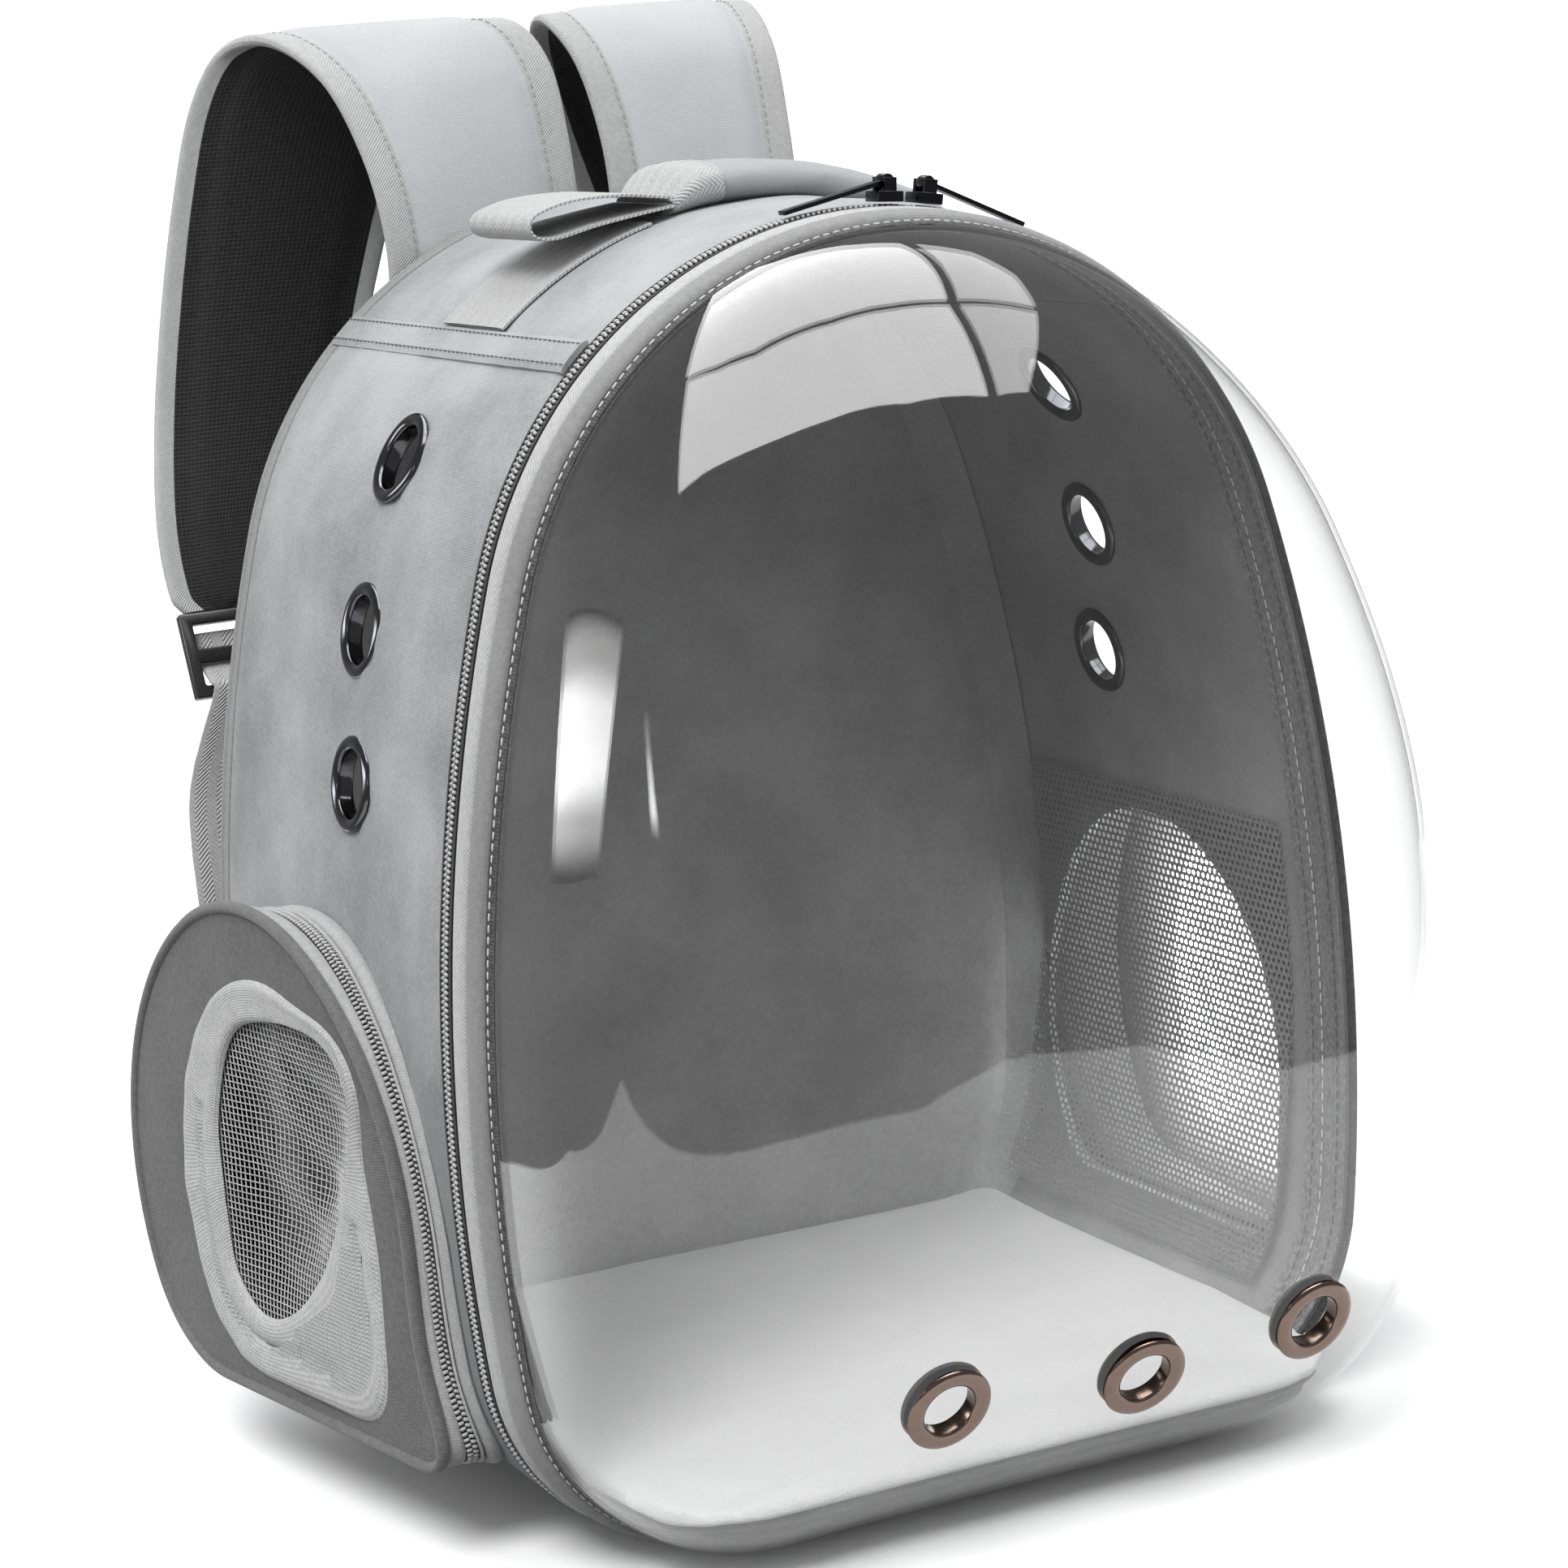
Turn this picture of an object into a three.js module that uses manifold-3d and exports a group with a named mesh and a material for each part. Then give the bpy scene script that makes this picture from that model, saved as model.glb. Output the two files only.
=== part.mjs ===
// Bubble pet carrier backpack, in millimetres, +Z up.
// X runs across the pack, -Y is its clear front, +Y its back with the straps, and Z = 0 is the floor.
import * as THREE from 'three';
import { mergeVertices } from 'three/addons/utils/BufferGeometryUtils.js';
import Module from 'manifold-3d';

const wasm = await Module();
wasm.setup();

// Shell: an arched outline of five arcs on a flat foot, swept from the front edge to the back edge.
const shellWidth = 327;
const shellHeight = 420;
const shellDepth = 200;
const widestHeight = 138;
const crownNarrowing = 19.5;
const footRadius = 73;
const wall = 3;
const gap = 0.3;
const frontEdge = -shellDepth / 2;
const backEdge = shellDepth / 2;
const shellBack = backEdge - 2;

// Seams, piping and back board.
const seamTurn = 47.3;
const seamStripWidth = 13;
const stripThickness = 0.9;
const pipingSize = 4;
const pipingProud = 1;
const backBoardThickness = 6;
const cornerStripWidth = 12;
const cornerStripTurn = 62;

// Front rim, from the shell's edge forward: zip tape, twill band, rolled edge, dome.
const zipWidth = 8.2;
const zipThickness = 2.4;
const coilRise = 1;
const bandWidth = 8.7;
const rollWidth = 9.9;
const rimThickness = 3;
const rimInset = 4.6;
const rimForward = zipWidth + bandWidth + rollWidth + 4 * gap;

// Dome.
const domeDepth = 92;
const domeWall = 1.5;
const domeCentre = 215;
const domePower = { crown: 1.8, side: 4.4, foot: 2.6, turn: 1.6 };
const domeRings = [1, 0.985, 0.95, 0.89, 0.8, 0.67, 0.5, 0.26];

// Vent rings: dark ones down each side, bronze ones at the foot of the dome.
const sideRing = { hole: 10.5, flange: 16, barrel: 1.2, lip: 1.8, sag: 1.7, sides: 14 };
const domeRing = { hole: 8.5, flange: 14, barrel: 1.2, lip: 1.6, sides: 14 };
// A side ring's drop is its depth below the crown.
const sideRingPlaces = [
  { name: '1', drop: 72, leftY: -14, rightY: -13 },
  { name: '2', drop: 126, leftY: -16, rightY: -2 },
  { name: '3', drop: 175, leftY: -21, rightY: 12 },
];
const domeRingPlaces = [
  { name: '1', x: -45, z: 57 },
  { name: '2', x: 27, z: 51 },
  { name: '3', x: 90, z: 57 },
];

// Side pouches: an arched wall that stands out from the side, leaning further out towards the back.
const pouchWidth = 178;
const pouchHeight = 167;
const pouchWidest = 68;
const pouchCrownNarrowing = 14;
const pouchFootRadius = 46;
const pouchFoot = 35;
const pouchY = 7;
const pouchStandOff = 24;
const pouchLean = 0.16;
const pouchBaseShift = -4;
const pouchBaseFlare = 7;
// The lower front corner runs forward to a toe: how far, up to what height, and how suddenly.
const pouchToe = { panel: 49, base: 34, frame: 26, height: 85, bend: 3.4 };
const pouchWall = 2;
const panelThickness = 2;
const pouchPiping = 3.4;
const pouchZip = { from: 0.34, to: 0.62, lift: 0.9, rise: 1.6 };
const mouthMargin = 11;

// Window in the pouch panel and its binding ring, measured from the panel's own outline.
const windowFrame = { width: 128, height: 141, foot: 40, y: -3, narrowing: 10, widest: 62, footRadius: 36 };
const windowHole = { width: 88, height: 106, foot: 60, y: -10, narrowing: 7, widest: 50, footRadius: 26 };
const ringThickness = 1.2;
const ringOverlap = 3;
const meshThickness = 0.8;
const meshOverlap = 4;
const innerMesh = { front: frontEdge + 8, back: backEdge - 22, low: 27, high: 195 };

// Floor pad.
const padTop = 30;
const padSideGap = 1.5;
const padFrontGap = 6;
const padBackGap = 2;
const padLevels = [0, 0.16, 0.36, 0.64, 1];
const padFrontSteps = 12;

// Handle: webbing along the crown, a slack fold of it, and a padded grip.
const tapeWidth = 50;
const tapeThickness = 1.4;
const handleY = -9;
const gripTurns = { left: 101, right: 58 };
const gripThickness = 14;
const gripRise = 0.6;
const tapeLeftTurn = 105;
// The slack fold's run, as places from the grip's left end: out along the pack, and up from the crown.
const bowRun = [
  { out: 1.2, up: 4.6 },
  { out: 14, up: 3 },
  { out: 30, up: 0.6 },
  { out: 44, up: -2.2 },
  { out: 51.5, up: -1.2 },
  { out: 53.5, up: 2.6 },
  { out: 50, up: 6.2 },
  { out: 38, up: 9.2 },
  { out: 20, up: 9.6 },
  { out: 1.6, up: 7.4 },
];

// Shoulder straps from root to end: the centre's distance out on the left and on the right, its place
// behind the pack and rise above the crown, the width, and how far each outer edge swings back.
const strapThickness = 7;
const strapEdge = 5;
const strapRows = [
  { left: 39, right: 50, behind: 0, rise: -34, width: 76, leftSwing: 0, rightSwing: 0 },
  { left: 39, right: 50, behind: 0, rise: -8, width: 76, leftSwing: 0, rightSwing: 0 },
  { left: 41, right: 50, behind: 4, rise: 20, width: 78, leftSwing: 4, rightSwing: 2 },
  { left: 46, right: 49, behind: 14, rise: 48, width: 84, leftSwing: 10, rightSwing: 4 },
  { left: 55, right: 48, behind: 32, rise: 63, width: 90, leftSwing: 18, rightSwing: 6 },
  { left: 66, right: 50, behind: 52, rise: 61, width: 90, leftSwing: 20, rightSwing: 8 },
  { left: 76, right: 56, behind: 64, rise: 42, width: 88, leftSwing: 16, rightSwing: 8 },
  { left: 86, right: 66, behind: 70, rise: 10, width: 84, leftSwing: 12, rightSwing: 6 },
  { left: 97, right: 80, behind: 71, rise: -30, width: 80, leftSwing: 8, rightSwing: 4 },
  { left: 108, right: 97, behind: 66, rise: -70, width: 76, leftSwing: 4, rightSwing: 2 },
  { left: 120, right: 115, behind: 56, rise: -105, width: 66, leftSwing: 0, rightSwing: 0 },
  { left: 131, right: 129, behind: 46, rise: -130, width: 46, leftSwing: 0, rightSwing: 0 },
  { left: 135, right: 135, behind: 43, rise: -137, width: 30, leftSwing: 0, rightSwing: 0 },
];

// Ladder-lock adjuster at the strap's end, and the webbing from it to the pack's foot.
const adjuster = { width: 36, height: 32, thickness: 4.5, bar: 4.5, rail: 4.5 };
const webbingWidth = 25;
const webbingThickness = 1.6;
const webbingRows = [
  { x: 148, behind: 28, z: 220 },
  { x: 152, behind: 17, z: 178 },
  { x: 153, behind: 8, z: 136 },
  { x: 148, behind: 2, z: 92 },
  { x: 139, behind: 0, z: 56 },
  { x: 134, behind: 0, z: 40 },
];

// Zip sliders at the crown and their hinged pulls.
const sliderMiddle = 18;
const sliderSpacing = 14;
const slider = { length: 9, width: 9, height: 3.4, ear: 1.6, earLength: 4.4 };
const pinRadius = 0.9;
const pinHeight = 3.2;
const pull = { length: 38, width: 4.6, thickness: 1.4, eye: 2.4 };

const fabric = { color: 0xb4b7bc, roughness: 0.85 };
const twill = { color: 0xc9cac8, roughness: 0.9 };
const darkFabric = { color: 0x77787a, roughness: 0.9 };
const plush = { color: 0xe8e8e6, roughness: 1 };
const webbing = { color: 0xc4c4c1, roughness: 0.9 };
const padding = { color: 0xdcdedf, roughness: 0.85 };
const clear = { color: 0xe9eef0, roughness: 0.06, opacity: 0.25 };
const gunmetal = { color: 0x35363a, roughness: 0.22, metalness: 1 };
const bronze = { color: 0x86695a, roughness: 0.28, metalness: 1 };
const blackMetal = { color: 0x1d1e20, roughness: 0.3, metalness: 0.9 };
const blackPlastic = { color: 0x161617, roughness: 0.45 };
const mesh = { color: 0xd7d8d6, roughness: 0.9 };

const degrees = THREE.MathUtils.degToRad;
const pack = new THREE.Group();

function add(name, geometry, look) {
  const { opacity = 1, metalness = 0, ...rest } = look;
  const material = new THREE.MeshStandardMaterial({ ...rest, metalness, opacity, transparent: opacity < 1 });
  const piece = new THREE.Mesh(geometry, material);
  piece.name = name;
  pack.add(piece);
  return piece;
}

// Bodies: closed meshes with their faces turned outward.
function outward(geometry) {
  geometry.deleteAttribute('normal');
  geometry.deleteAttribute('uv');
  const merged = mergeVertices(geometry, 1e-4);
  const place = merged.getAttribute('position');
  const index = merged.getIndex().array;
  const [a, b, c] = [new THREE.Vector3(), new THREE.Vector3(), new THREE.Vector3()];
  let volume = 0;
  for (let i = 0; i < index.length; i += 3) {
    a.fromBufferAttribute(place, index[i]);
    b.fromBufferAttribute(place, index[i + 1]);
    c.fromBufferAttribute(place, index[i + 2]);
    volume += a.dot(b.cross(c));
  }
  if (volume < 0) index.reverse();
  return merged;
}

function body(points, index) {
  const geometry = new THREE.BufferGeometry();
  geometry.setAttribute('position', new THREE.Float32BufferAttribute(points.flat(), 3));
  geometry.setIndex(index);
  return outward(geometry);
}

// Triangles over a flat ring of points, for the end of a loft.
function capTriangles(ring) {
  const normal = new THREE.Vector3();
  ring.forEach((point, i) => {
    const next = ring[(i + 1) % ring.length];
    normal.x += (point[1] - next[1]) * (point[2] + next[2]);
    normal.y += (point[2] - next[2]) * (point[0] + next[0]);
    normal.z += (point[0] - next[0]) * (point[1] + next[1]);
  });
  normal.normalize();
  const across = new THREE.Vector3(normal.y, normal.z, normal.x).cross(normal).normalize();
  const up = normal.clone().cross(across);
  const flat = ring.map((point) => {
    const place = new THREE.Vector3(...point);
    return new THREE.Vector2(place.dot(across), place.dot(up));
  });
  return THREE.ShapeUtils.triangulateShape(flat, []);
}

// A body through rings of points. A closed one joins its last ring to its first; others get end caps.
function loft(rings, closed = false) {
  const sides = rings[0].length;
  const count = rings.length;
  const index = [];
  for (let i = 0; i < (closed ? count : count - 1); i += 1) {
    const near = i * sides;
    const far = ((i + 1) % count) * sides;
    for (let j = 0; j < sides; j += 1) {
      const k = (j + 1) % sides;
      index.push(near + j, near + k, far + k, near + j, far + k, far + j);
    }
  }
  if (!closed) {
    const last = (count - 1) * sides;
    for (const [p, q, r] of capTriangles(rings[0])) index.push(r, q, p);
    for (const [p, q, r] of capTriangles(rings[0])) index.push(last + p, last + q, last + r);
  }
  return body(rings.flat(), index);
}

function toSolid(geometry) {
  const plain = outward(geometry.clone());
  return new wasm.Manifold(new wasm.Mesh({
    numProp: 3,
    vertProperties: new Float32Array(plain.getAttribute('position').array),
    triVerts: new Uint32Array(plain.getIndex().array),
  }));
}

function fromSolid(solid) {
  const { vertProperties, triVerts } = solid.getMesh();
  const geometry = new THREE.BufferGeometry();
  geometry.setAttribute('position', new THREE.BufferAttribute(vertProperties, 3));
  geometry.setIndex(new THREE.BufferAttribute(triVerts, 1));
  return geometry;
}

const cut = (geometry, tools) => fromSolid(tools.reduce((left, tool) => left.subtract(toSolid(tool)), toSolid(geometry)));
const join = (first, ...others) => fromSolid(others.reduce((sum, other) => sum.add(toSolid(other)), toSolid(first)));

function block(width, depth, height, x, y, z) {
  return new THREE.BoxGeometry(width, depth, height).translate(x, y, z);
}

// An arch of a crown arc, two side arcs and two foot arcs that meet smoothly, on a flat foot at v = 0.
// A station is a place on it with its outward normal, so a parallel outline is the stations moved out.
function makeArch({ width, height, widest, narrowing, foot, steps }) {
  const half = width / 2;
  const crown = half - narrowing;
  const rise = height - crown - widest;
  const side = (half ** 2 + rise ** 2 - crown ** 2) / (2 * narrowing);
  const sideU = half - side;
  const footU = sideU + Math.sqrt((side - foot) ** 2 - (widest - foot) ** 2);
  const crownTurn = THREE.MathUtils.radToDeg(Math.atan2(rise, -sideU));
  const footTurn = THREE.MathUtils.radToDeg(Math.atan2(foot - widest, footU - sideU));
  const arcs = {
    crown: [0, height - crown, crown],
    side: [sideU, widest, side],
    foot: [footU, foot, foot],
  };

  // Turn is the angle of the outward normal: -90 at the foot, 0 at the widest, 90 at the crown.
  function station(turn) {
    const mirror = turn > 90 ? -1 : 1;
    const own = turn > 90 ? 180 - turn : turn;
    const [u, v, radius] = own > crownTurn ? arcs.crown : own > footTurn ? arcs.side : arcs.foot;
    const [nu, nv] = [Math.cos(degrees(own)), Math.sin(degrees(own))];
    return { u: mirror * (u + radius * nu), v: v + radius * nv, nu: mirror * nu, nv };
  }

  const breaks = [-90, footTurn, crownTurn, 180 - crownTurn, 180 - footTurn, 270];
  const counts = [steps.foot, steps.side, steps.crown, steps.side, steps.foot];
  const turns = [];
  counts.forEach((count, arc) => {
    for (let i = 0; i < count; i += 1) {
      turns.push(THREE.MathUtils.lerp(breaks[arc], breaks[arc + 1], i / count));
    }
  });
  turns.push(270);

  // A turn between two stations gives a place on the straight facet that joins them.
  function onFacet(turn) {
    const next = Math.max(turns.findIndex((each) => each >= turn), 1);
    const share = (turn - turns[next - 1]) / (turns[next] - turns[next - 1]);
    const [from, to] = [station(turns[next - 1]), station(turns[next])];
    const entries = Object.keys(from).map((key) => [key, THREE.MathUtils.lerp(from[key], to[key], share)]);
    return Object.fromEntries(entries);
  }

  function between(from, to) {
    const inner = turns.filter((turn) => turn > from + 1 && turn < to - 1);
    return [onFacet(from), ...inner.map(station), onFacet(to)];
  }

  function around() {
    const flat = Array.from({ length: steps.flat }, (_, i) => {
      const share = (i + 1) / (steps.flat + 1);
      return { u: THREE.MathUtils.lerp(-footU, footU, share), v: 0, nu: 0, nv: -1 };
    });
    return [...turns.map(station), ...flat];
  }

  function halfWidth(v, out = 0) {
    const [u, centre, radius] = v > station(crownTurn).v ? arcs.crown : v > station(footTurn).v ? arcs.side : arcs.foot;
    return u + Math.sqrt(Math.max((radius + out) ** 2 - (v - centre) ** 2, 0));
  }

  function turnAt(v) {
    const [, centre, radius] = v > station(crownTurn).v ? arcs.crown : v > station(footTurn).v ? arcs.side : arcs.foot;
    return THREE.MathUtils.radToDeg(Math.asin((v - centre) / radius));
  }

  return { station, between, around, halfWidth, turnAt, footU, crown };
}

const shell = makeArch({
  width: shellWidth,
  height: shellHeight,
  widest: widestHeight,
  narrowing: crownNarrowing,
  foot: footRadius,
  steps: { foot: 5, side: 5, crown: 14, flat: 3 },
});

// A section of { out, y } corners carried along stations of the shell's outline.
// What stands proud of the outline thins out towards the foot, so that nothing reaches below the floor.
function sweepShell(stations, section, closed = false) {
  const rings = stations.map(({ u, v, nu, nv }) => section.map(({ out, y }) => {
    const reach = out > 0 ? out * Math.min(1, 1 + nv) : out;
    return [u + reach * nu, y, v + reach * nv];
  }));
  return loft(rings, closed);
}

function bandSection(outFrom, outTo, yFrom, yTo) {
  return [
    { out: outFrom, y: yFrom },
    { out: outTo, y: yFrom },
    { out: outTo, y: yTo },
    { out: outFrom, y: yTo },
  ];
}

// Vent ring: a barrel through the wall with a lip on each face. Its axis is Y, its outer face towards +Y.
function ringBody({ hole, flange, barrel, lip, sag, sides }, through) {
  const outer = through / 2 + gap;
  const inner = through / 2 + gap + sag;
  const profile = [
    [hole, -inner - lip],
    [flange - lip, -inner - lip],
    [flange, -inner],
    [hole + barrel, -inner],
    [hole + barrel, outer],
    [flange, outer],
    [flange - lip, outer + lip],
    [hole, outer + lip],
    [hole, -inner - lip],
  ];
  return outward(new THREE.LatheGeometry(profile.map(([r, y]) => new THREE.Vector2(r, y)), sides));
}

// The hole that a vent ring's barrel passes, along +Y, wide enough for its corners.
function ringHole({ hole, barrel, sides }, length) {
  const radius = (hole + barrel + gap) / Math.cos(Math.PI / sides);
  return new THREE.CylinderGeometry(radius, radius, length, sides);
}

function aim(geometry, place, normal) {
  const turn = new THREE.Quaternion().setFromUnitVectors(new THREE.Vector3(0, 1, 0), normal);
  return geometry.applyQuaternion(turn).translate(place.x, place.y, place.z);
}

// Pouch outlines lie in Y and Z; the panel leans in X.
const pouchSteps = { foot: 5, side: 5, crown: 8, flat: 2 };
const pouch = makeArch({
  width: pouchWidth,
  height: pouchHeight,
  widest: pouchWidest,
  narrowing: pouchCrownNarrowing,
  foot: pouchFootRadius,
  steps: pouchSteps,
});
const frameArch = makeArch({ ...windowFrame, foot: windowFrame.footRadius, steps: pouchSteps });
const holeArch = makeArch({ ...windowHole, foot: windowHole.footRadius, steps: pouchSteps });
const panelX = (y) => shellWidth / 2 + pouchStandOff + pouchLean * y;

// An outline on the side, where the front half moves forward by a flare, and its foot by a toe.
function outlineOf(arch, y, z, toe = 0, flare = 0) {
  const places = arch.around().map(({ u, v }) => {
    const front = THREE.MathUtils.smoothstep(-u, -arch.footU, arch.footU);
    const low = Math.max(1 - v / pouchToe.height, 0) ** pouchToe.bend;
    return new THREE.Vector2(y + u - front * (flare + toe * low), z + v);
  });
  return (out) => places.map((place, i) => {
    const along = places[(i + 1) % places.length].clone().sub(places.at(i - 1)).normalize();
    return { y: place.x + out * along.y, z: place.y - out * along.x };
  });
}

const panelOutline = outlineOf(pouch, pouchY, pouchFoot, pouchToe.panel);
const baseShift = [pouchY + pouchBaseShift, pouchFoot + pouchBaseShift];
const baseOutline = outlineOf(pouch, ...baseShift, pouchToe.base, pouchBaseFlare);
const frameOutline = outlineOf(frameArch, windowFrame.y, windowFrame.foot, pouchToe.frame);
const holeOutline = outlineOf(holeArch, windowHole.y, windowHole.foot);

// A flat ring or plate that lies along the leaning panel, between two depths in from its outer face.
function panelRing(side, outer, inner, face, back) {
  return loft(outer.map((place, i) => [
    [side * (panelX(place.y) - back), place.y, place.z],
    [side * (panelX(place.y) - face), place.y, place.z],
    [side * (panelX(inner[i].y) - face), inner[i].y, inner[i].z],
    [side * (panelX(inner[i].y) - back), inner[i].y, inner[i].z],
  ]), true);
}

function panelPlate(side, outline, face, back) {
  return loft([back, face].map((depth) => outline.map(({ y, z }) => [side * (panelX(y) - depth), y, z])));
}

function buildPouch(side, name) {
  const wallX = (z) => shell.halfWidth(z) + 2 * gap;
  const under = panelThickness + gap;
  const [baseOuter, baseInner] = [baseOutline(0), baseOutline(-pouchWall)];
  const [topOuter, topInner] = [panelOutline(0), panelOutline(-pouchWall)];
  const between = (share, base, top, i) => {
    const x = THREE.MathUtils.lerp(wallX(baseOuter[i].z), panelX(topOuter[i].y) - under, share);
    const [y, z] = [THREE.MathUtils.lerp(base.y, top.y, share), THREE.MathUtils.lerp(base.z, top.z, share)];
    return [side * x, y, z];
  };
  add(`pouch_gusset_${name}`, loft(baseOuter.map((base, i) => [
    ...[0, pouchZip.from, pouchZip.to, 1].map((share) => between(share, base, topOuter[i], i)),
    [side * (panelX(topInner[i].y) - under), topInner[i].y, topInner[i].z],
    [side * wallX(baseInner[i].z), baseInner[i].y, baseInner[i].z],
  ]), true), fabric);

  const lift = [pouchZip.lift, pouchZip.lift + pouchZip.rise];
  const bases = lift.map((out) => baseOutline(out));
  const tops = lift.map((out) => panelOutline(out));
  const zipCorner = (level, i, share) => between(share, bases[level][i], tops[level][i], i);
  add(`pouch_zip_${name}`, loft(baseOuter.map((_, i) => [
    zipCorner(0, i, pouchZip.from),
    zipCorner(1, i, pouchZip.from),
    zipCorner(1, i, pouchZip.to),
    zipCorner(0, i, pouchZip.to),
  ]), true), twill);

  add(`pouch_panel_${name}`, panelRing(side, topOuter, holeOutline(ringOverlap), 0, panelThickness), darkFabric);
  const pipe = [gap, gap + pouchPiping].map((out) => panelOutline(out));
  add(`pouch_piping_${name}`, panelRing(side, pipe[1], pipe[0], -1, pouchPiping - 1), darkFabric);
  add(`window_ring_${name}`, panelRing(side, frameOutline(0), holeOutline(0), -gap - ringThickness, -gap), twill);
  const meshFace = panelThickness + gap;
  const sheet = holeOutline(ringOverlap + meshOverlap);
  add(`window_mesh_${name}`, panelPlate(side, sheet, meshFace, meshFace + meshThickness), mesh);

  const stations = shell.between(shell.turnAt(innerMesh.low), shell.turnAt(innerMesh.high));
  const section = bandSection(-wall - gap, -wall - gap - meshThickness, innerMesh.front, innerMesh.back);
  add(`inner_mesh_${name}`, sweepShell(mirrorTo(side, stations), section), mesh);
}

const mirrorTo = (side, stations) => stations.map(({ u, nu, ...rest }) => ({ u: side * u, nu: side * nu, ...rest }));

// Side wall from the foot to the shoulder seam, with its vent holes and the pouch mouth cut through.
function buildSide(side, name) {
  const seamHalf = THREE.MathUtils.radToDeg(gap / 2 / shell.crown);
  const stations = mirrorTo(side, shell.between(-90, seamTurn - seamHalf));
  const panel = sweepShell(stations, bandSection(0, -wall, frontEdge, shellBack));
  const holes = sideRingPlaces.map(({ drop, leftY, rightY, name: number }) => {
    const z = shellHeight - drop;
    const { u, v, nu, nv } = shell.station(shell.turnAt(z));
    const normal = new THREE.Vector3(side * nu, 0, nv);
    const y = side < 0 ? leftY : rightY;
    const middle = new THREE.Vector3(side * (u - nu * wall / 2), y, v - nv * wall / 2);
    const ring = add(`vent_ring_${name}_${number}`, ringBody(sideRing, wall), gunmetal);
    ring.position.copy(middle);
    ring.quaternion.setFromUnitVectors(new THREE.Vector3(0, 1, 0), normal);
    return aim(ringHole(sideRing, wall * 6), middle, normal);
  });
  const mouth = baseOutline(-mouthMargin);
  const reach = [shellWidth / 2 - footRadius, shellWidth / 2 + wall];
  const mouthTool = loft(reach.map((x) => mouth.map(({ y, z }) => [side * x, y, z])));
  add(`side_panel_${name}`, cut(panel, [...holes, mouthTool]), fabric);

  const stripHalf = THREE.MathUtils.radToDeg(seamStripWidth / 2 / shell.crown);
  const strip = mirrorTo(side, shell.between(seamTurn - stripHalf, seamTurn + stripHalf));
  add(`shoulder_seam_${name}`, sweepShell(strip, bandSection(gap, gap + stripThickness, frontEdge + 1, backEdge - 3)), twill);

  const corner = mirrorTo(side, shell.between(-cornerStripTurn, cornerStripTurn));
  const cornerBack = shellBack - backBoardThickness - gap;
  const cornerSection = bandSection(-wall - gap, -wall - gap - stripThickness, cornerBack - cornerStripWidth, cornerBack);
  add(`corner_binding_${name}`, sweepShell(corner, cornerSection), darkFabric);
}

function buildShell() {
  const seamHalf = THREE.MathUtils.radToDeg(gap / 2 / shell.crown);
  const crown = shell.between(seamTurn + seamHalf, 180 - seamTurn - seamHalf);
  add('top_panel', sweepShell(crown, bandSection(0, -wall, frontEdge, shellBack)), fabric);
  const baseWidth = 2 * (shell.footU - gap);
  add('bottom_panel', block(baseWidth, shellBack - frontEdge, wall, 0, (shellBack + frontEdge) / 2, wall / 2), darkFabric);
  const board = [shellBack - backBoardThickness, shellBack].map((y) => shell.around().map(({ u, v, nu, nv }) => (
    [u - (wall + gap) * nu, y, v - (wall + gap) * nv]
  )));
  add('back_panel', loft(board), darkFabric);
  const pipingFront = shellBack + gap;
  const piping = bandSection(pipingProud, pipingProud - pipingSize, pipingFront, pipingFront + pipingSize);
  add('back_piping', sweepShell(shell.around(), piping, true), darkFabric);
}

// Rim rings step forward from the shell's front edge and draw in a little towards the dome.
function buildRim() {
  const zipBack = frontEdge - gap;
  const zipFront = zipBack - zipWidth;
  const bandBack = zipFront - gap;
  const bandFront = bandBack - bandWidth;
  const rollBack = bandFront - gap;
  const rollFront = rollBack - rollWidth;
  const inAt = (y) => rimInset * ((frontEdge - y) / rimForward) ** 2;
  const zip = [
    { out: 0, y: zipBack },
    { out: coilRise, y: (zipBack + zipFront) / 2 },
    { out: -inAt(zipFront), y: zipFront },
    { out: -inAt(zipFront) - zipThickness, y: zipFront },
    { out: -zipThickness, y: zipBack },
  ];
  add('front_zip', sweepShell(shell.around(), zip, true), darkFabric);
  const band = [
    { out: -inAt(bandBack), y: bandBack },
    { out: -inAt(bandFront), y: bandFront },
    { out: -inAt(bandFront) - rimThickness, y: bandFront },
    { out: -inAt(bandBack) - rimThickness, y: bandBack },
  ];
  add('front_band', sweepShell(shell.around(), band, true), twill);
  const crest = (rollBack + rollFront) / 2;
  const roll = [
    { out: -inAt(rollBack), y: rollBack },
    { out: coilRise - inAt(crest), y: crest },
    { out: -inAt(rollFront), y: rollFront },
    { out: -inAt(rollFront) - rimThickness, y: rollFront },
    { out: -inAt(rollBack) - rimThickness, y: rollBack },
  ];
  add('front_roll', sweepShell(shell.around(), roll, true), darkFabric);
}

// Dome: the rim outline shrinks towards the centre while a power curve brings it forward.
function domeY(direction, share, depth) {
  const { crown, side, foot, turn } = domePower;
  const power = side + ((direction > 0 ? crown : foot) - side) * (1 - (1 - direction ** 2) ** turn);
  return frontEdge - rimForward - depth * (1 - share ** power) ** (1 / power);
}

function domeRingPoints(share, out, depth) {
  return shell.around().map(({ u, v, nu, nv }) => {
    const [x, z] = [u + out * nu, v + out * nv - domeCentre];
    return [share * x, domeY(z / Math.hypot(x, z), share, depth), domeCentre + share * z];
  });
}

// The same curve as the straight facets between the dome's rings follow it.
function domeFacetY(direction, share, depth) {
  const levels = [...domeRings, 0];
  const next = Math.max(levels.findIndex((level) => level <= share), 1);
  const [from, to] = [levels[next - 1], levels[next]];
  const along = (from - share) / (from - to);
  return THREE.MathUtils.lerp(domeY(direction, from, depth), domeY(direction, to, depth), along);
}

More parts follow.
